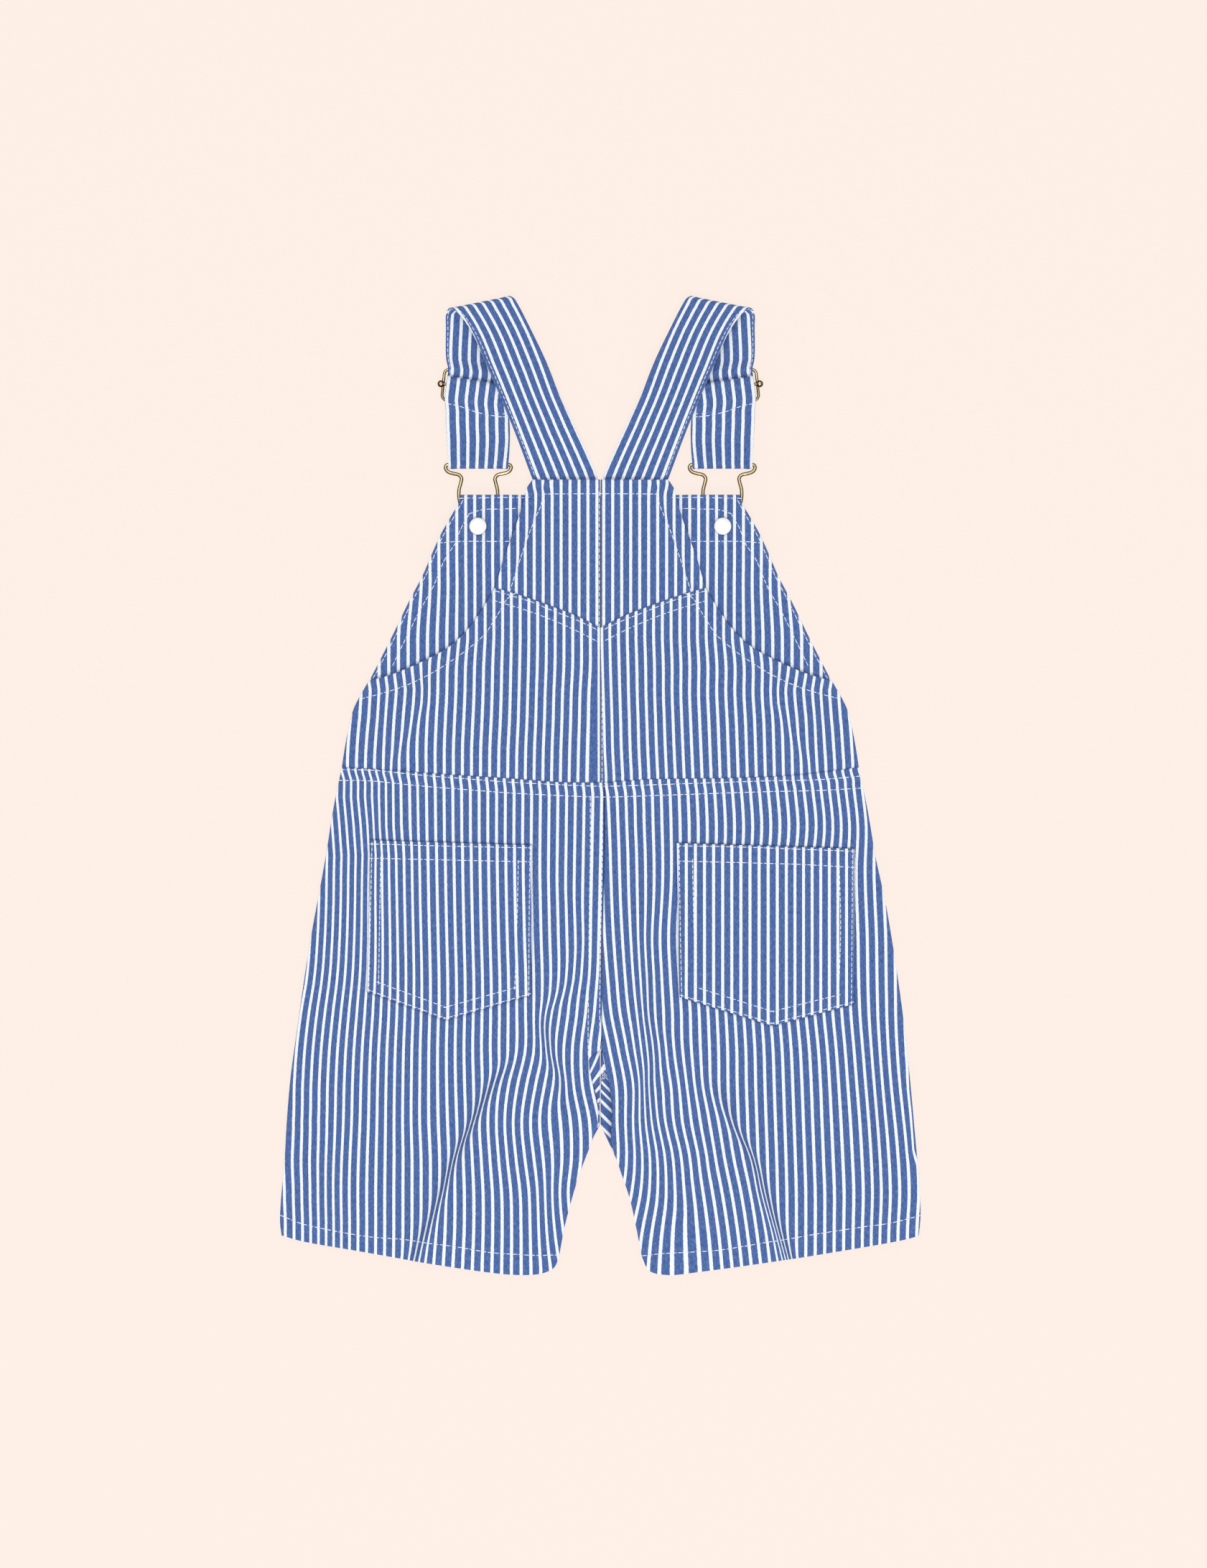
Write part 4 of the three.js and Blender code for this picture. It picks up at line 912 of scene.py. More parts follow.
pocket_stripes = {"left": left_pocket_stripes, "right": right_pocket_stripes}
for name, leg in LEGS.items():
    top_out, top_in, low_out, low_in, point = leg["pocket"]
    net = spanned(
        straight(top_out, top_in),
        joined(straight(low_out, point), straight(point, low_in), 0.5),
        straight(top_out, low_out),
        straight(top_in, low_in),
    )
    stripes = pocket_stripes[name]
    under = lambda x, y: back_under(x, y) + CLOTH + crease_height(x, y) + POCKET_GAP
    edge = lambda x, y, away: np.maximum(
        band(away["top"], *POCKET_TOP_BAND),
        band(np.minimum.reduce([away["left"], away["right"], away["bottom"]]), *POCKET_EDGE_BAND))
    pieces[f"back_pocket_{name}"] = cloth_panel(
        f"back_pocket_{name}_cloth", net, under, stripes, POCKET_CLOTH, edge, size=(84, 82), spacing=1.2)

# %% [markdown]
# ## Back bib and yoke
# The bib's top edge is folded under and laps the yoke along the V seam.

# %% Back bib and yoke halves
POINT_BAND, YOKE_SIDE_BAND, YOKE_TOP_BAND = (5.4, 0.35), (8.6, 0.4), (4.6, 0.35)
POINT_SHARE = 0.4  # the yoke seam's share of the bib's top edge


def bib_extra(x, y, away):
    return band(away["top"], *POINT_BAND) + crease_height(x, y) - sewn_down(away["bottom"])


def yoke_extra(x, y, away):
    turned = np.maximum(band(away["right"], *YOKE_SIDE_BAND), band(away["top"], *YOKE_TOP_BAND))
    return turned - sewn_down(away["bottom"])


for name, side in SIDES:
    centre = side * SEAM / 2
    seam = sided(YOKE_POINT_SEAM, side)
    waist_edge = WAIST_LEFT[::-1] if side < 0 else WAIST_RIGHT
    net = spanned(
        joined(curve(seam, centre, -SEAM / 2 + POINT_LAP),
               curve(sided(BACK_ARMHOLE, side), 0, -SEAM / 2 + POINT_LAP), POINT_SHARE),
        curve(waist_edge, centre, SEAM / 2),
        straight((centre, YOKE_POINT), (centre, WAIST_MIDDLE)),
        curve(sided(UNDERARM_SIDE, side)),
    )
    pieces[f"back_bib_{name}"] = cloth_panel(
        f"back_bib_{name}_cloth", net, back_under, back_bib_stripes, extra=bib_extra, size=(135, 80), spacing=1.15,
        shade=lambda x, y, edge=waist_edge: line_shade(x, y, edge, EDGE_DARK, SEAM_EDGE_WIDTH))
    net = spanned(
        straight((centre, YOKE_TOP), (side * YOKE_SIDE[0][0], YOKE_TOP)),
        curve(seam, centre, SEAM / 2),
        straight((centre, YOKE_TOP), (centre, YOKE_POINT)),
        curve(sided(YOKE_SIDE, side)),
    )
    pieces[f"back_yoke_{name}"] = cloth_panel(
        f"back_yoke_{name}_cloth", net, back_under, yoke_stripes, extra=yoke_extra, size=(45, 70), spacing=1.0,
        shade=lambda x, y, edge=seam: line_shade(x, y, edge, EDGE_DARK, SEAM_EDGE_WIDTH))

# %% [markdown]
# ## Straps
# Each strap is one ribbon: sewn under the yoke, over the shoulder fold, down
# through the slider, round the buckle, and back up to the slider's bar. A curve
# with a flat profile would twist at the fold, so both edges of the ribbon are
# drawn as curves and the cloth is ruled between them.

# %% Where the strap runs
# rows of the strap are pairs of points: outer edge, inner edge
SLIDER = dict(x=61.2, y=199.2, tilt=6.0, half_width=17.6, half_height=7.7, corner=2.4, wire=1.5)
SLIDER_BAR = dict(z=3.35, ball=1.8, ball_x=18.7, ball_z=2.3, side_rise=1.25)
STRAP_LINE = dict(x=61.5, reach=4.5)
BUCKLE = dict(x=61.1, bar_y=160.8, wire=1.8, bar_z=2.2, hook_z=3.5)
STRAP_BACK = [
    ((-41.8, 174.2, 4.8), (-13.0, 180.4, 4.0)), ((-49.0, 191.9, 6.4), (-20.2, 195.1, 5.0)),
    ((-56.2, 208.8, 5.9), (-27.4, 212.8, 4.8)), ((-64.4, 227.0, 4.8), (-34.6, 227.9, 4.6)),
]
STRAP_FOLD = [
    ((-70.8, 236.0, 4.3), (-41.0, 240.4, 4.4)), ((-74.0, 238.4, 3.6), (-43.3, 243.9, 3.7)),
    ((-76.4, 238.2, 2.3), (-45.4, 244.6, 2.3)), ((-77.4, 235.6, 1.0), (-45.6, 242.0, 1.0)),
    ((-77.4, 230.0, 0.5), (-45.0, 236.0, 0.5)),
]
UNDER_SLIDER = [(13.5, 0.7), (7.7, 2.35), (3.9, 1.15), (0, 0.5), (-3.9, 1.15), (-7.7, 2.35), (-12.5, 1.0)]
OVER_SLIDER = [(-18.0, 3.3), (-13.0, 4.6), (-7.7, 4.95)]
SEWN_BACK_END = [(-3.9, 2.5), (-7.7, 3.6), (-11.8, 3.0)]
TURNS = 5
ON_SLIDER, UNDER_TURN, OVER_TURN = 15.9, 15.5, 15.0  # half widths of the strap
print(f"a strap of {2 * ON_SLIDER} mm runs through a slider {2 * SLIDER['half_width']} mm wide")


# %% One row of the strap
def slider_row(along, half, z):
    """A row square to the tilted slider; beyond it the strap's middle comes back to its own line."""
    tilt = math.radians(-SLIDER["tilt"])
    across, up = np.array([math.cos(tilt), math.sin(tilt), 0]), np.array([-math.sin(tilt), math.cos(tilt), 0])
    middle = np.array([-SLIDER["x"], SLIDER["y"], z]) + along * up
    free = smooth((abs(along) - SLIDER["half_height"]) / STRAP_LINE["reach"])
    middle[0] += (-STRAP_LINE["x"] - middle[0]) * free
    return middle - half * across, middle + half * across


def level_row(y, half, z):
    """A row straight across, where the strap runs down to the buckle."""
    return (-BUCKLE["x"] - half, y, z), (-BUCKLE["x"] + half, y, z)


# %% All rows of the strap
def strap_rows():
    """From the end sewn under the yoke, round all folds, to the end sewn round the slider's bar."""
    def under_yoke(outer, inner, y):
        x = np.array([outer, inner]) * np.array([0.5, 1.0])
        z = back_under(x, np.full(2, min(y, YOKE_TOP))) - 0.9 - STRAP_CLOTH / 2
        return (outer, y, z[0]), (inner, y, z[1])

    rows = [under_yoke(-32.4, -0.5, YOKE_TOP - 5), under_yoke(-33.4, -0.9, YOKE_TOP - 1),
            under_yoke(-34.6, -1.6, YOKE_TOP + 2)]
    rows += STRAP_BACK + STRAP_FOLD
    rows += [slider_row(along, ON_SLIDER, z) for along, z in UNDER_SLIDER]
    rows += [level_row(176, 15.8, 0.5), level_row(167, UNDER_TURN, 0.5)]
    bend = BUCKLE["wire"] / 2 + SEAM + STRAP_CLOTH / 2
    for angle in np.linspace(-math.pi / 2, math.pi / 2, TURNS):
        rows.append(level_row(BUCKLE["bar_y"] - bend * math.cos(angle), OVER_TURN,
                              BUCKLE["bar_z"] + bend * math.sin(angle)))
    rows += [level_row(166, 15.4, 3.1), level_row(173, 15.7, 2.2)]
    rows += [slider_row(along, ON_SLIDER, z) for along, z in OVER_SLIDER]
    for angle in np.linspace(math.pi / 2, -math.pi / 2, TURNS):
        z = SLIDER_BAR["z"] + 1.55 * math.sin(angle)
        rows.append((slider_row(3.6 * math.cos(angle), ON_SLIDER, z)[0],
                     slider_row(2.2 * math.cos(angle), ON_SLIDER, z)[1]))
    rows += [slider_row(along, ON_SLIDER, z) for along, z in SEWN_BACK_END]
    return rows


rows = strap_rows()
print(f"{len(rows)} rows shape the strap")

# %% The strap's net and stripes
STRAP_STEPS = 7
STRAP_WIDTH = 31
STRAP_HEM = 0.16  # the edges are folded in, and sewn
# row, where the first white stripe lies across the strap, and the pitch, both as shares of its width
STRAP_STRIPES = [(0, 0.1, 0.148), (3, 0.1, 0.148), (4, 0.112, 0.15), (5, 0.12, 0.153), (6, 0.144, 0.154),
                 (7, 0.17, 0.15), (8, 0.2, 0.147), (9, 0.19, 0.147), (10, 0.11, 0.147), (12, 0.075, 0.146),
                 (24, 0.015, 0.153), (28, 0.03, 0.155), (39, 0.03, 0.155)]
outer, inner = (dense_curve([row[k] for row in rows], STRAP_STEPS) for k in (0, 1))
for edge in (outer, inner):
    edge[:, 2] = np.maximum(edge[:, 2], STRAP_CLOTH / 2)
across = spread(STRAP_WIDTH, 1.3)
middle = outer[:, None] * (1 - across[None, :, None]) + inner[:, None] * across[None, :, None]
along = np.gradient(middle, axis=0)
normal = np.cross((inner - outer)[:, None], along)
normal /= np.linalg.norm(normal, axis=2, keepdims=True)
row_at = np.arange(len(outer)) / STRAP_STEPS
first, pitch = (np.interp(row_at, *zip(*[(row[0], row[k]) for row in STRAP_STRIPES]))[:, None] for k in (1, 2))
from_edge = np.minimum(across, 1 - across) * STRAP_WIDTH
rounded = np.maximum(np.sqrt(1 - (1 - np.clip(from_edge / 0.7, 0, 1)) ** 2), 0.2)
hem = STRAP_HEM * (1 - smooth((from_edge - 2.4) / 1.2))
half = (STRAP_CLOTH / 2 * rounded + hem * rounded)[None, :, None]
strap_run = np.cumsum(np.concatenate([[0], np.linalg.norm(np.diff(middle[:, 12], axis=0), axis=1)]))
strap_uv = np.stack([(across[None] - first) / pitch, np.repeat(strap_run[:, None], len(across), 1)], -1).reshape(-1, 2)
print(f"strap net: {middle.shape[0]} by {middle.shape[1]} points")

# %% Both straps
THREAD_LIFT = 0.12
LEAST_THREAD = 0.15  # threads under the strap are pressed into it by the table


def strap_point(row, share, face=1):
    """A point just above one face of the strap, from its row and its share of the width."""
    k = np.clip(row * STRAP_STEPS, 0, len(outer) - 1.001)
    i, t = int(k), k - int(k)
    point = (outer[i] * (1 - t) + outer[i + 1] * t) * (1 - share) + (inner[i] * (1 - t) + inner[i + 1] * t) * share
    point = point + face * normal[i, 10] * (STRAP_CLOTH / 2 + THREAD_LIFT)
    return np.maximum(point, [-np.inf, -np.inf, LEAST_THREAD])


# drawn for the left and mirrored for the right
for name, side in (("left", 1), ("right", -1)):
    faces = shell_faces(*middle.shape[:2], flip=side > 0)
    points = np.vstack([(middle + s * half * normal).reshape(-1, 3) for s in (1, -1)]) * [side, 1, 1]
    points[:, 2] = np.maximum(points[:, 2], 0)  # flat where it rests
    pieces[f"strap_{name}"] = make_mesh(
        f"strap_{name}_cloth", points, faces, np.vstack([strap_uv, strap_uv]) + [0, 40 * side], twill)

# %% [markdown]
# ## Brass wire and tack buttons
# The buckle and the slider are bent from wire, so each is a tube swept along a
# closed path. Sweeping rings in code keeps the section round at the bends.

# %% Wire helpers
BUCKLE_HALF = [
    (0, 160.8), (8.0, 160.8), (14.6, 160.8), (16.1, 160.2), (16.4, 158.9), (15.3, 157.2), (12.6, 156.2), (9.6, 155.4),
    (8.4, 153.8), (8.8, 151.2), (9.6, 148.0), (9.6, 144.0), (8.6, 139.6), (5.8, 134.4), (3.7, 131.2), (3.5, 128.4),
    (2.2, 126.2), (0, 125.4),
]
WIRE_SIDES = 14


def closed_wire(path, diameter):
    """Rings round each point of a closed path, joined into a tube."""
    path = np.asarray(path, float)
    along = np.roll(path, -1, 0) - np.roll(path, 1, 0)
    along /= np.linalg.norm(along, axis=1, keepdims=True)
    out = np.cross(along, [0, 0, 1.0])
    out /= np.linalg.norm(out, axis=1, keepdims=True)
    rise = np.cross(out, along)
    angle = np.arange(WIRE_SIDES) / WIRE_SIDES * 2 * math.pi
    ring = out[:, None] * np.cos(angle)[None, :, None] + rise[:, None] * np.sin(angle)[None, :, None]
    points = (path[:, None] + diameter / 2 * ring).reshape(-1, 3)
    ids = np.arange(len(points)).reshape(len(path), WIRE_SIDES)
    after, turn = np.roll(ids, -1, 0), np.roll(ids, -1, 1)
    faces = np.stack([ids, after, np.roll(after, -1, 1), turn], -1).reshape(-1, 4)
    return points, faces


def closed_curve(points, steps):
    """The dense curve through points that meet in a loop, without its ends."""
    loop = list(points[-3:]) + list(points) + list(points[:3])
    return dense_curve(loop, steps)[3 * steps : -3 * steps - 1][: len(points) * steps]


def join_parts(name, parts, material):
    points, faces, first = [], [], 0
    for part_points, part_faces in parts:
        points.append(part_points)
        faces.append(part_faces + first)
        first += len(part_points)
    return make_mesh(name, np.vstack(points), np.vstack(faces), None, material)


def tube_faces(ids):
    """Quads round a row of rings, with both ends closed by quads."""
    faces = np.stack([ids[:-1], ids[1:], np.roll(ids[1:], -1, 1), np.roll(ids[:-1], -1, 1)], -1).reshape(-1, 4)
    for ring, order in ((ids[0], 1), (ids[-1], -1)):
        cap = [[ring[k], ring[k + 1], ring[-k - 2], ring[-k - 1]] for k in range(len(ring) // 2 - 1)]
        faces = np.vstack([faces, np.array(cap)[:, ::order]])
    return faces


def ball(centre, radius, segments=20, rings=12):
    """A sphere of quads only: a net from pole to pole, its poles small closed rings."""
    polar = np.linspace(0.06, math.pi - 0.06, rings)[:, None]
    turn = (np.arange(segments) / segments * 2 * math.pi)[None]
    shape = np.stack([np.sin(polar) * np.cos(turn), np.sin(polar) * np.sin(turn), np.cos(polar) + 0 * turn], -1)
    faces = tube_faces(np.arange(rings * segments).reshape(rings, segments))
    return np.array(centre) + radius * shape.reshape(-1, 3), faces


off_circle = BUCKLE["wire"] / 2 * (1 - math.cos(math.pi / WIRE_SIDES))
print(f"a wire of {WIRE_SIDES} sides is {off_circle:.3f} mm off a true circle")


# %% The buckle's path
def buckle_path(side):
    """Half of the hourglass, its mirrored half, and the rise from the bar to the hook."""
    half_path = []
    for out, y in BUCKLE_HALF:
        share = smooth((BUCKLE["bar_y"] - y) / (BUCKLE["bar_y"] - 146))
        half_path.append((out, y, BUCKLE["bar_z"] + (BUCKLE["hook_z"] - BUCKLE["bar_z"]) * share))
    path = half_path + [(-x, y, z) for x, y, z in half_path[-2:0:-1]]
    return closed_curve([(side * BUCKLE["x"] + x, y, z) for x, y, z in path], 5)


# %% The slider's frame, bar and balls
def slider_frame():
    """A rectangle with round corners, whose short sides rise to carry the bar."""
    corners = []
    corner, reach, rise = SLIDER["corner"], (SLIDER["half_width"], SLIDER["half_height"]), SLIDER_BAR["side_rise"]
    for sx, sy, start in ((1, 1, 0), (-1, 1, 90), (-1, -1, 180), (1, -1, 270)):
        for turned in np.radians(start + np.linspace(0, 90, 9)):
            x = sx * (reach[0] - corner) + corner * math.cos(turned)
            y = sy * (reach[1] - corner) + corner * math.sin(turned)
            corners.append((x, y, SLIDER["wire"] / 2 + rise * (1 - abs(y) / reach[1])))
        if sx != sy:
            corners.append((sx * reach[0], 0, SLIDER["wire"] / 2 + rise))
    return corners


def slider_bar():
    """A straight wire whose ends bend down into the balls."""
    half = [(SLIDER_BAR["ball_x"], SLIDER_BAR["ball_z"]), (SLIDER_BAR["ball_x"] - 1.2, 2.9),
            (SLIDER_BAR["ball_x"] - 3, SLIDER_BAR["z"])]
    bar = np.array([(-x, 0, z) for x, z in half] + [(x, 0, z) for x, z in half[::-1]])
    bar_out = np.array([[0, math.cos(a), math.sin(a)] for a in np.arange(WIRE_SIDES) / WIRE_SIDES * 2 * math.pi])
    bar_points = (bar[:, None] + SLIDER["wire"] / 2 * bar_out[None]).reshape(-1, 3)
    return bar_points, tube_faces(np.arange(len(bar_points)).reshape(len(bar), WIRE_SIDES))[:, ::-1]


# %% Bend the wire
for name, side in SIDES:
    wire = closed_wire(buckle_path(side), BUCKLE["wire"])
    pieces[f"buckle_wire_{name}"] = join_parts(f"buckle_{name}", [wire], brass)
    parts = [closed_wire(slider_frame(), SLIDER["wire"]), slider_bar()]
    parts += [ball((end * SLIDER_BAR["ball_x"], 0, SLIDER_BAR["ball_z"]), SLIDER_BAR["ball"]) for end in (-1, 1)]
    tilt = math.radians(side * SLIDER["tilt"])
    turn = np.array([[math.cos(tilt), -math.sin(tilt), 0], [math.sin(tilt), math.cos(tilt), 0], [0, 0, 1]])
    parts = [(points @ turn.T + [side * SLIDER["x"], SLIDER["y"], 0], faces) for points, faces in parts]
    pieces[f"slider_{name}"] = join_parts(f"slider_wire_{name}", parts, brass)
    print(f"{name}: buckle of {len(wire[1])} faces, slider of {sum(len(faces) for _, faces in parts)} faces")

# %% [markdown]
# ## Tack buttons
# Both halves of a tack button are turned parts, so each is a profile spun round
# its axis: the brass head below, and the enamelled back with its metal rim.

# %% Tack buttons
BUTTON = (61.2, 129.6)
HEAD = [(0, 0), (4.0, 0.05), (7.4, 0.15), (8.2, 0.5), (8.5, 1.0), (8.45, 1.6), (8.1, 2.1), (7.5, 2.4), (3.2, 2.4),
        (2.1, 2.5), (1.9, 2.9), (1.9, 4.4), (0, 4.4)]
BACK_OF_TACK = [(0, 6.2), (4.0, 6.2), (4.25, 6.35), (4.3, 6.6), (4.28, 6.85), (4.1, 7.05), (3.85, 7.3), (3.4, 7.55),
                (2.6, 7.8), (1.4, 7.95), (0, 8.0)]
RIM_FACES = 4


def spun(name, profile, centre, material, around=48):
    """A profile turned round its axis; on the enamelled back the outer bands are its brass rim."""
    build = bmesh.new()
    angle = np.arange(around) / around * 2 * math.pi
    rings = []
    for radius, z in profile:
        if radius == 0:
            rings.append([build.verts.new((centre[0] * MM, centre[1] * MM, z * MM))] * around)
            continue
        rings.append([build.verts.new(((centre[0] + radius * math.cos(a)) * MM, (centre[1] + radius * math.sin(a)) * MM,
                                       z * MM)) for a in angle])
    for level, (low, high) in enumerate(zip(rings[:-1], rings[1:])):
        for k in range(around):
            corners = list(dict.fromkeys([low[k], low[(k + 1) % around], high[(k + 1) % around], high[k]]))
            face = build.faces.new(corners)
            face.smooth, face.material_index = True, int(1 <= level < RIM_FACES and material is enamel)
    mesh = bpy.data.meshes.new(name)
    build.to_mesh(mesh)
    build.free()
    mesh.materials.append(material)
    if material is enamel:
        mesh.materials.append(brass)
    piece = bpy.data.objects.new(name, mesh)
    bpy.context.collection.objects.link(piece)
    return piece


for name, side in SIDES:
    centre = (side * BUTTON[0], BUTTON[1])
    pieces[f"button_{name}"] = spun(f"button_head_{name}", HEAD, centre, brass)
    pieces[f"tack_{name}"] = spun(f"tack_back_{name}", BACK_OF_TACK, centre, enamel)
print(f"tack buttons {2 * HEAD[4][0]:.1f} mm across, with {2 * BACK_OF_TACK[3][0]:.1f} mm backs")

# %% [markdown]
# ## Stitches
# Topstitching is a row of short threads that dip into the cloth at each hole.
# Every line is drawn in the picture plane and dropped onto the cloth under it,
# and Geometry Nodes then set one stitch after another along it. A dashed
# texture would be flat and could not cross from one panel to the next.

# %% Stitch lines, in the plane
BIB_LINES = [
    [(-69.5, 143.6), (-49.0, 144.0), (-36.5, 144.0)],
    [(-64.8, 136.1), (-59.0, 137.9), (-49.0, 138.2), (-40.3, 138.6)],
    [(-80.0, 121.3), (-70.6, 122.0), (-46.6, 122.0)],
    [(-66.2, 134.6), (-69.8, 128.2), (-72.4, 121.3), (-77.8, 113.0), (-84.2, 98.6), (-90.4, 87.8), (-97.6, 73.4),
     (-103.6, 61.0)],
    [(-69.2, 141.6), (-73.8, 133.2), (-78.8, 124.4), (-87.4, 105.2), (-94.6, 91.6), (-103.3, 73.6), (-113.4, 54.4)],
    [(-28.4, 144.7), (-30.2, 139.0), (-32.4, 133.9), (-35.3, 126.7), (-38.2, 118.4), (-41.0, 110.2), (-45.2, 97.6)],
    [(-51.5, 97.1), (-41.8, 94.1), (-34.6, 91.9), (-27.4, 88.9), (-20.2, 86.0), (-13.0, 83.2), (-5.8, 80.0), (0, 77.0)],
    [(-52.6, 92.4), (-34.6, 86.8), (-16.6, 79.6), (0.0, 71.3)],
    [(-43.2, 95.8), (-46.8, 93.2), (-49.0, 89.6), (-51.5, 85.3), (-54.0, 81.4), (-56.2, 77.8), (-59.0, 74.5),
     (-62.6, 71.3), (-67.0, 67.7), (-74.2, 62.6), (-83.2, 56.9), (-92.2, 52.2), (-101.2, 48.6), (-112.0, 45.4),
     (-119.0, 43.6)],
]
WAIST_LINE = [
    (-130.2, 2.5), (-113.8, 2.2), (-99.4, 0.7), (-85.0, -0.7), (-70.6, -1.8), (-41.8, -4.0), (-27.4, -4.7),
    (-13.0, -5.4), (1.4, -5.8), (37.4, -4.7), (80.6, -3.2), (109.4, -2.5), (130.2, -1.4),
]
LEG_LINES = [
    [(x, y + 5.4) for x, y in WAIST_LINE[:-1]] + [(129.3, 4.6)],
    WAIST_LINE,
    [(-159.2, -215.6), (-149.8, -219.2), (-142.6, -221.0), (-128.2, -223.9), (-113.8, -226.1), (-99.4, -227.2),
     (-85.0, -229.0), (-70.6, -231.1), (-56.2, -233.6), (-41.8, -234.7), (-34.6, -235.1), (-21.6, -235.1)],
    [(22.0, -235.4), (30.2, -234.4), (44.6, -233.6), (59.0, -232.6), (73.4, -230.4), (87.8, -227.9), (102.2, -225.4),
     (116.6, -223.2), (131.0, -221.0), (145.4, -218.9), (159.2, -215.6)],
    [(-5.0, -6.5), (-5.0, -31.0), (-5.4, -56.2), (-5.8, -92.2), (-6.1, -124.6), (-6.1, -133.9)],
    [(1.2, -6.5), (1.0, -38.2), (0.2, -74.2), (-0.3, -110.2), (-0.3, -132.5)],
    [(-0.5, 145.8), (-0.5, 113.0), (-0.5, 79.9)],
    [(1.2, 145.8), (1.2, 113.0), (1.2, 79.2)],
    [(0.9, 77.0), (0.9, 41.0), (0.9, 1.8)],
    [(-28.1, 145.8), (0.0, 145.9), (28.4, 145.8)],
]
POCKET_LINES = [
    [(-114.3, -29.3), (-74.2, -30.4), (-34.9, -31.2)],
    [(-114.5, -36.4), (-85.0, -37.1), (-34.9, -38.2)],
    [(-114.2, -29.3), (-115.0, -67.0), (-115.8, -102.4)],
    [(-115.8, -102.4), (-77.4, -116.4)],
    [(-77.4, -116.4), (-35.8, -104.4)],
    [(-35.8, -104.4), (-35.6, -67.0), (-35.1, -31.2)],
    [(-109.8, -36.4), (-110.5, -74.2), (-110.9, -98.6)],
    [(-110.9, -98.6), (-77.4, -110.9)],
    [(-77.4, -110.9), (-42.8, -101.2)],
    [(-42.8, -101.2), (-41.8, -74.2), (-41.0, -38.2)],
    [(39.6, -30.2), (73.4, -30.9), (102.2, -32.0), (126.2, -32.9)],
    [(39.4, -37.8), (80.6, -38.9), (102.2, -39.6), (126.2, -41.0)],
    [(39.4, -30.2), (40.0, -70.6), (40.7, -105.1)],
    [(40.7, -105.1), (86.0, -118.9)],
    [(86.0, -118.9), (125.6, -108.6)],
    [(125.6, -108.6), (125.9, -70.6), (126.2, -32.9)],
    [(46.1, -37.8), (46.8, -70.6), (47.5, -100.8)],
    [(47.5, -100.8), (86.0, -113.0)],
    [(86.0, -113.0), (119.2, -104.8)],
    [(119.2, -104.8), (120.2, -70.6), (119.5, -40.3)],
]
STRAP_END_LINES = [
    [(-75.6, 190.8), (-70.6, 189.7), (-63.4, 187.2), (-56.2, 185.4), (-50.4, 184.5)],
    [(-52.0, 186.2), (-47.6, 185.8)],
    [(-52.0, 184.9), (-47.6, 184.3)],
]


def mirrored(lines):
    return lines + [[(-x, y) for x, y in line] for line in lines]


print(f"{2 * len(BIB_LINES)} lines above the waist, {len(LEG_LINES)} on legs and seams, {len(POCKET_LINES)} on pockets")

# %% Drop the lines onto the cloth
def surface_tree(names):
    points, faces, first = [], [], 0
    for name in names:
        mesh = pieces[name].data
        points += [v.co.copy() for v in mesh.vertices]
        faces += [[first + v for v in face.vertices] for face in mesh.polygons]
        first = len(points)
    return BVHTree.FromPolygons(points, faces)


top_cloth = surface_tree([name for name in pieces if name.startswith(("front_bib", "back", "strap"))])


def dropped(line, step=1.0):
    """Points each millimetre along a line, laid on the uppermost cloth."""
    length = np.linalg.norm(np.diff(np.array(line), axis=0), axis=1).sum()
    flat = curve(line)(np.linspace(0, 1, max(int(length / step), 3)))
    points = []
    for x, y in flat:
        hit = top_cloth.ray_cast(Vector((x * MM, y * MM, 0.05)), Vector((0, 0, -1)))[0]
        if hit:
            points.append((hit.x, hit.y, hit.z))
    return points


def edge_line(first_row, last_row, share, side, face):
    """A line along the strap, between two of its rows, on one of its faces."""
    rows_on = np.linspace(first_row, last_row, int(abs(last_row - first_row) * STRAP_STEPS))
    return [tuple(strap_point(r, share, face) * [side, 1, 1] * MM) for r in rows_on]


print(f"the waist line was dropped at {len(dropped(WAIST_LINE))} points")

# %% [markdown]
# The tree that sews: it resamples each line by the stitch length, sets one small
# thread at every point along the line, and makes them real.

# %% One stitch
STITCH_SHARE = 0.97  # how much of the stitch length the thread fills


def stitch_shape():
    """One stitch, 1 long and 1 thick: a thread with its ends pulled down into the cloth."""
    sides = 6
    stations = [  # along, thickness, height
        (-0.5, 0.35, -0.55), (-0.38, 0.8, -0.1), (-0.15, 1.0, 0.12), (0.15, 1.0, 0.12), (0.38, 0.8, -0.1),
        (0.5, 0.35, -0.55),
    ]
    points = [(x, 0.5 * wide * math.cos(a), 0.5 * wide * math.sin(a) + z)
              for x, wide, z in stations for a in np.arange(sides) / sides * 2 * math.pi]
    ids = np.arange(len(points)).reshape(len(stations), sides)
    faces = np.stack([ids[:-1], np.roll(ids[:-1], -1, 1), np.roll(ids[1:], -1, 1), ids[1:]], -1).reshape(-1, 4)
    for ring, order in ((ids[0], -1), (ids[-1], 1)):
        cap = [[ring[0], ring[1], ring[2], ring[3]], [ring[0], ring[3], ring[4], ring[5]]]
        faces = np.vstack([faces, np.array(cap)[:, ::order]])
    mesh = bpy.data.meshes.new("stitch")
    mesh.from_pydata([tuple(p) for p in points], [], [[int(v) for v in face] for face in faces])
    mesh.polygons.foreach_set("use_smooth", np.ones(len(faces), bool))
    return bpy.data.objects.new("stitch_shape", mesh)


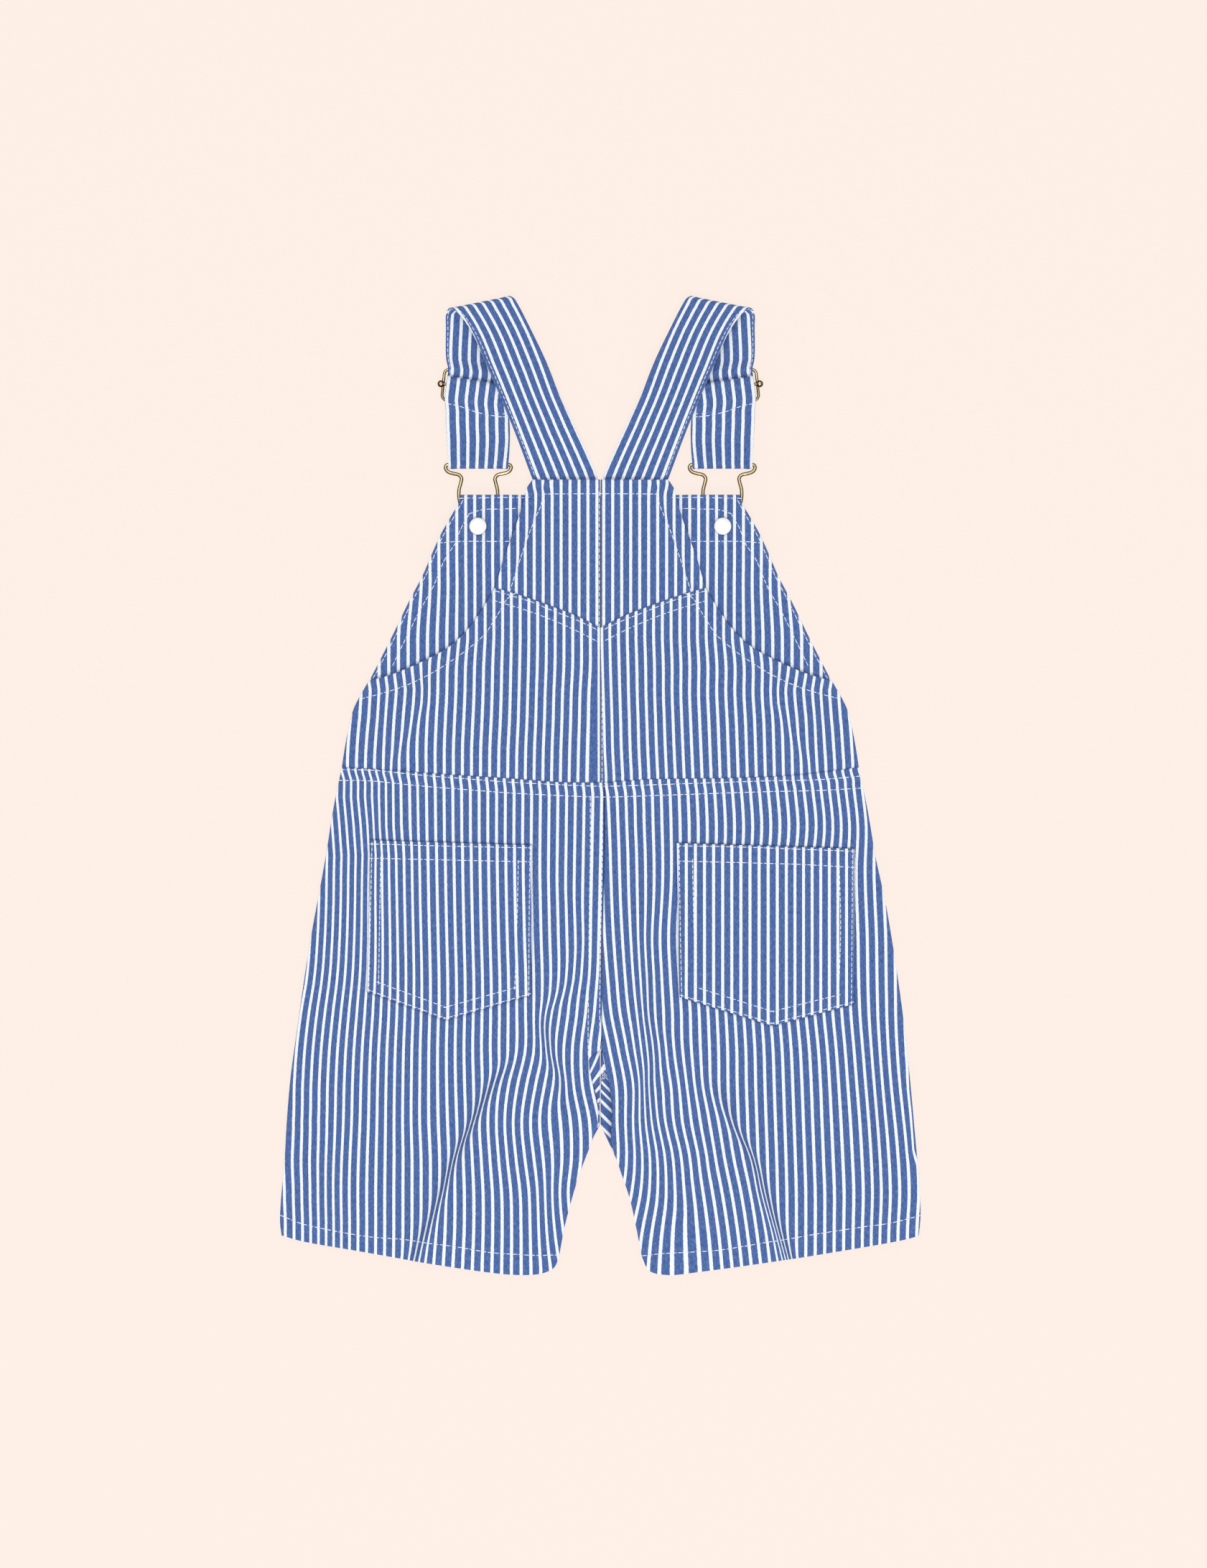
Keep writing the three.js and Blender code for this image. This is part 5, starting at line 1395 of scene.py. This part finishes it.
# %% The sewing tree
def sewing_tree():
    tree = bpy.data.node_groups.new("sewing", "GeometryNodeTree")
    sockets = {}
    tree.interface.new_socket("Geometry", in_out="INPUT", socket_type="NodeSocketGeometry")
    for name, kind, value in (("Stitch length", "NodeSocketFloat", 0.003), ("Thread", "NodeSocketFloat", 0.00045),
                              ("Gap", "NodeSocketFloat", STITCH_SHARE), ("Stitch", "NodeSocketObject", None),
                              ("Seed", "NodeSocketInt", 7)):
        socket = tree.interface.new_socket(name, in_out="INPUT", socket_type=kind)
        if value is not None:
            socket.default_value = value
        sockets[name] = socket.identifier
    tree.interface.new_socket("Geometry", in_out="OUTPUT", socket_type="NodeSocketGeometry")
    given = add(tree, "NodeGroupInput")
    lines = add(tree, "GeometryNodeResampleCurve", {"Curve": given.outputs["Geometry"],
                                                    "Length": given.outputs["Stitch length"]}, mode="LENGTH")
    shape = add(tree, "GeometryNodeObjectInfo", {"Object": given.outputs["Stitch"]})
    tangent = add(tree, "GeometryNodeInputTangent")
    facing = add(tree, "FunctionNodeAlignRotationToVector", {"Vector": tangent.outputs[0]}, axis="X")
    uneven = add(tree, "FunctionNodeRandomValue", {2: 0.9, 3: 1.04, "Seed": given.outputs["Seed"]}, data_type="FLOAT")
    long = add(tree, "ShaderNodeMath", {0: given.outputs["Stitch length"], 1: given.outputs["Gap"]},
               operation="MULTIPLY")
    long = add(tree, "ShaderNodeMath", {0: long.outputs[0], 1: uneven.outputs[1]}, operation="MULTIPLY")
    size = add(tree, "ShaderNodeCombineXYZ", {0: long.outputs[0], 1: given.outputs["Thread"],
                                              2: given.outputs["Thread"]})
    placed = add(tree, "GeometryNodeInstanceOnPoints",
                 {"Points": lines.outputs[0], "Instance": shape.outputs["Geometry"], "Rotation": facing.outputs[0],
                  "Scale": size.outputs[0]})
    real = add(tree, "GeometryNodeRealizeInstances", {0: placed.outputs[0]})
    finished = add(tree, "GeometryNodeSetMaterial", {"Geometry": real.outputs[0], "Material": thread})
    add(tree, "NodeGroupOutput", {0: finished.outputs[0]})
    return tree, sockets


sewing, sewing_sockets = sewing_tree()
stitch = stitch_shape()
print("inputs of the sewing tree:", ", ".join(sewing_sockets))


# %% Sewing a set of lines
def sew(name, lines, length=3.0, gauge=0.43, seed=7, gap=STITCH_SHARE):
    """Stitches along lines in metres, as one plain mesh."""
    data = bpy.data.curves.new(name + "_line", "CURVE")
    data.dimensions = "3D"
    for line in lines:
        spline = data.splines.new("POLY")
        spline.points.add(len(line) - 1)
        spline.points.foreach_set("co", np.column_stack([np.array(line), np.ones(len(line))]).ravel())
    guide = bpy.data.objects.new(name + "_line", data)
    bpy.context.collection.objects.link(guide)
    modifier = guide.modifiers.new("sewing", "NODES")
    modifier.node_group = sewing
    values = {"Stitch length": length * MM, "Thread": gauge * MM, "Gap": gap, "Stitch": stitch, "Seed": seed}
    for key, value in values.items():
        modifier[sewing_sockets[key]] = value
    mesh = bpy.data.meshes.new_from_object(guide.evaluated_get(bpy.context.evaluated_depsgraph_get()))
    bpy.data.objects.remove(guide)
    for vertex in mesh.vertices:
        vertex.co.z = max(vertex.co.z, 0.0)
    piece = bpy.data.objects.new(name, mesh)
    bpy.context.collection.objects.link(piece)
    print(f"{name}: {len(lines)} lines, {len(mesh.polygons)} faces")
    return piece


# %% Sew the garment
seams = {
    "stitches_bib_and_yoke": sew("stitches_bib_and_yoke", [dropped(line) for line in mirrored(BIB_LINES)]),
    "stitches_legs_and_seams": sew("stitches_legs_and_seams", [dropped(line) for line in LEG_LINES], seed=11),
    "stitches_pockets": sew("stitches_pockets", [dropped(line) for line in POCKET_LINES], 2.7, seed=13),
    "stitches_strap_ends": sew("stitches_strap_ends", [dropped(line) for line in mirrored(STRAP_END_LINES)], seed=17),
}
EDGE_SEAMS = [  # first row, last row, share of the width, face
    (2.1, 9.5, 0.055, 1), (9.5, 37.8, 0.033, 1), (9.5, 37.8, 0.96, 1), (9.5, 37.8, 0.033, -1), (9.5, 37.8, 0.96, -1),
]
strap_edges = [edge_line(*seam[:3], side, seam[3]) for side in (1, -1) for seam in EDGE_SEAMS]
seams["stitches_strap_edges"] = sew("stitches_strap_edges", strap_edges, 2.7, 0.38, seed=19)
# one white yarn lies bare along the outer edge
outer_yarns = [edge_line(2.1, 9.0, 0.004, side, 0) for side in (1, -1)]
seams["strap_edge_yarns"] = sew("strap_edge_yarns", outer_yarns, 2.7, 0.34, seed=23, gap=1.1)

# %% [markdown]
# ## Replace the model's parts
# Every piece takes the place of the plain part of the model with its name,
# and rides with the stitches on the root body.

# %% Ride and replace
for node, piece in pieces.items():
    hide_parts(node)
    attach(piece, "root")
for piece in seams.values():
    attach(piece, "root")

# %% [markdown]
# ## Floor, light and camera
# The photograph was taken from straight above in even light, with the ground
# cleared to one pale peach. A broad light from the foot of the picture shades
# the upper side of each raised edge, as the photograph does.

# %% Stage
GLOW_SHARE = 0.92  # the ground was cleared, so it shows hardly any shadow


def make_floor():
    bpy.ops.mesh.primitive_plane_add(size=8.0, location=(0, 0, -0.0004))
    floor = bpy.context.object
    floor.name = "floor"
    material, tree, shader = new_material("pale_peach_ground")
    shader.inputs["Base Color"].default_value = colour("#FDEFE6")
    shader.inputs["Roughness"].default_value = 1.0
    shader.inputs["Specular IOR Level"].default_value = 0.0
    glow = add(tree, "ShaderNodeEmission", {0: colour("#FDEFE6"), 1: 1.0})
    mixed = add(tree, "ShaderNodeMixShader", {0: GLOW_SHARE, 1: shader.outputs[0], 2: glow.outputs[0]})
    tree.links.new(mixed.outputs[0], tree.nodes["Material Output"].inputs["Surface"])
    floor.data.materials.append(material)


def area_light(name, location, size, power, target=(0, 0, 0)):
    data = bpy.data.lights.new(name, "AREA")
    data.shape, data.size, data.energy = "DISK", size, power
    light = bpy.data.objects.new(name, data)
    light.location = location
    light.rotation_euler = (Vector(target) - Vector(location)).to_track_quat("-Z", "Y").to_euler()
    bpy.context.collection.objects.link(light)


make_floor()
LIGHTS = [("foot_light", (0.2, -1.4, 2.0), 0.9, 21.5), ("head_light", (-0.4, 1.2, 2.4), 1.6, 13)]  # m, m, W
for light in LIGHTS:
    area_light(*light)
world = bpy.data.worlds.new("studio")
world.use_nodes = True
world.node_tree.nodes["Background"].inputs[0].default_value = colour("#FFFDFB")
world.node_tree.nodes["Background"].inputs[1].default_value = 0.65
bpy.context.scene.world = world
bpy.context.scene.view_settings.view_transform = "Standard"

# %% Camera
PICTURE = (1681, 2184)
PIXEL = 0.36 * MM
MIDDLE = (1.6 * MM, 0.7 * MM)
LENS, SENSOR = 100.0, 36.0
distance_up = PICTURE[1] * PIXEL * LENS / SENSOR
camera_data = bpy.data.cameras.new("camera")
camera_data.lens, camera_data.sensor_width, camera_data.sensor_fit = LENS, SENSOR, "AUTO"
camera = bpy.data.objects.new("camera", camera_data)
camera.location = (*MIDDLE, distance_up)
bpy.context.collection.objects.link(camera)
bpy.context.scene.camera = camera
print(f"camera {distance_up:.2f} m above the table")
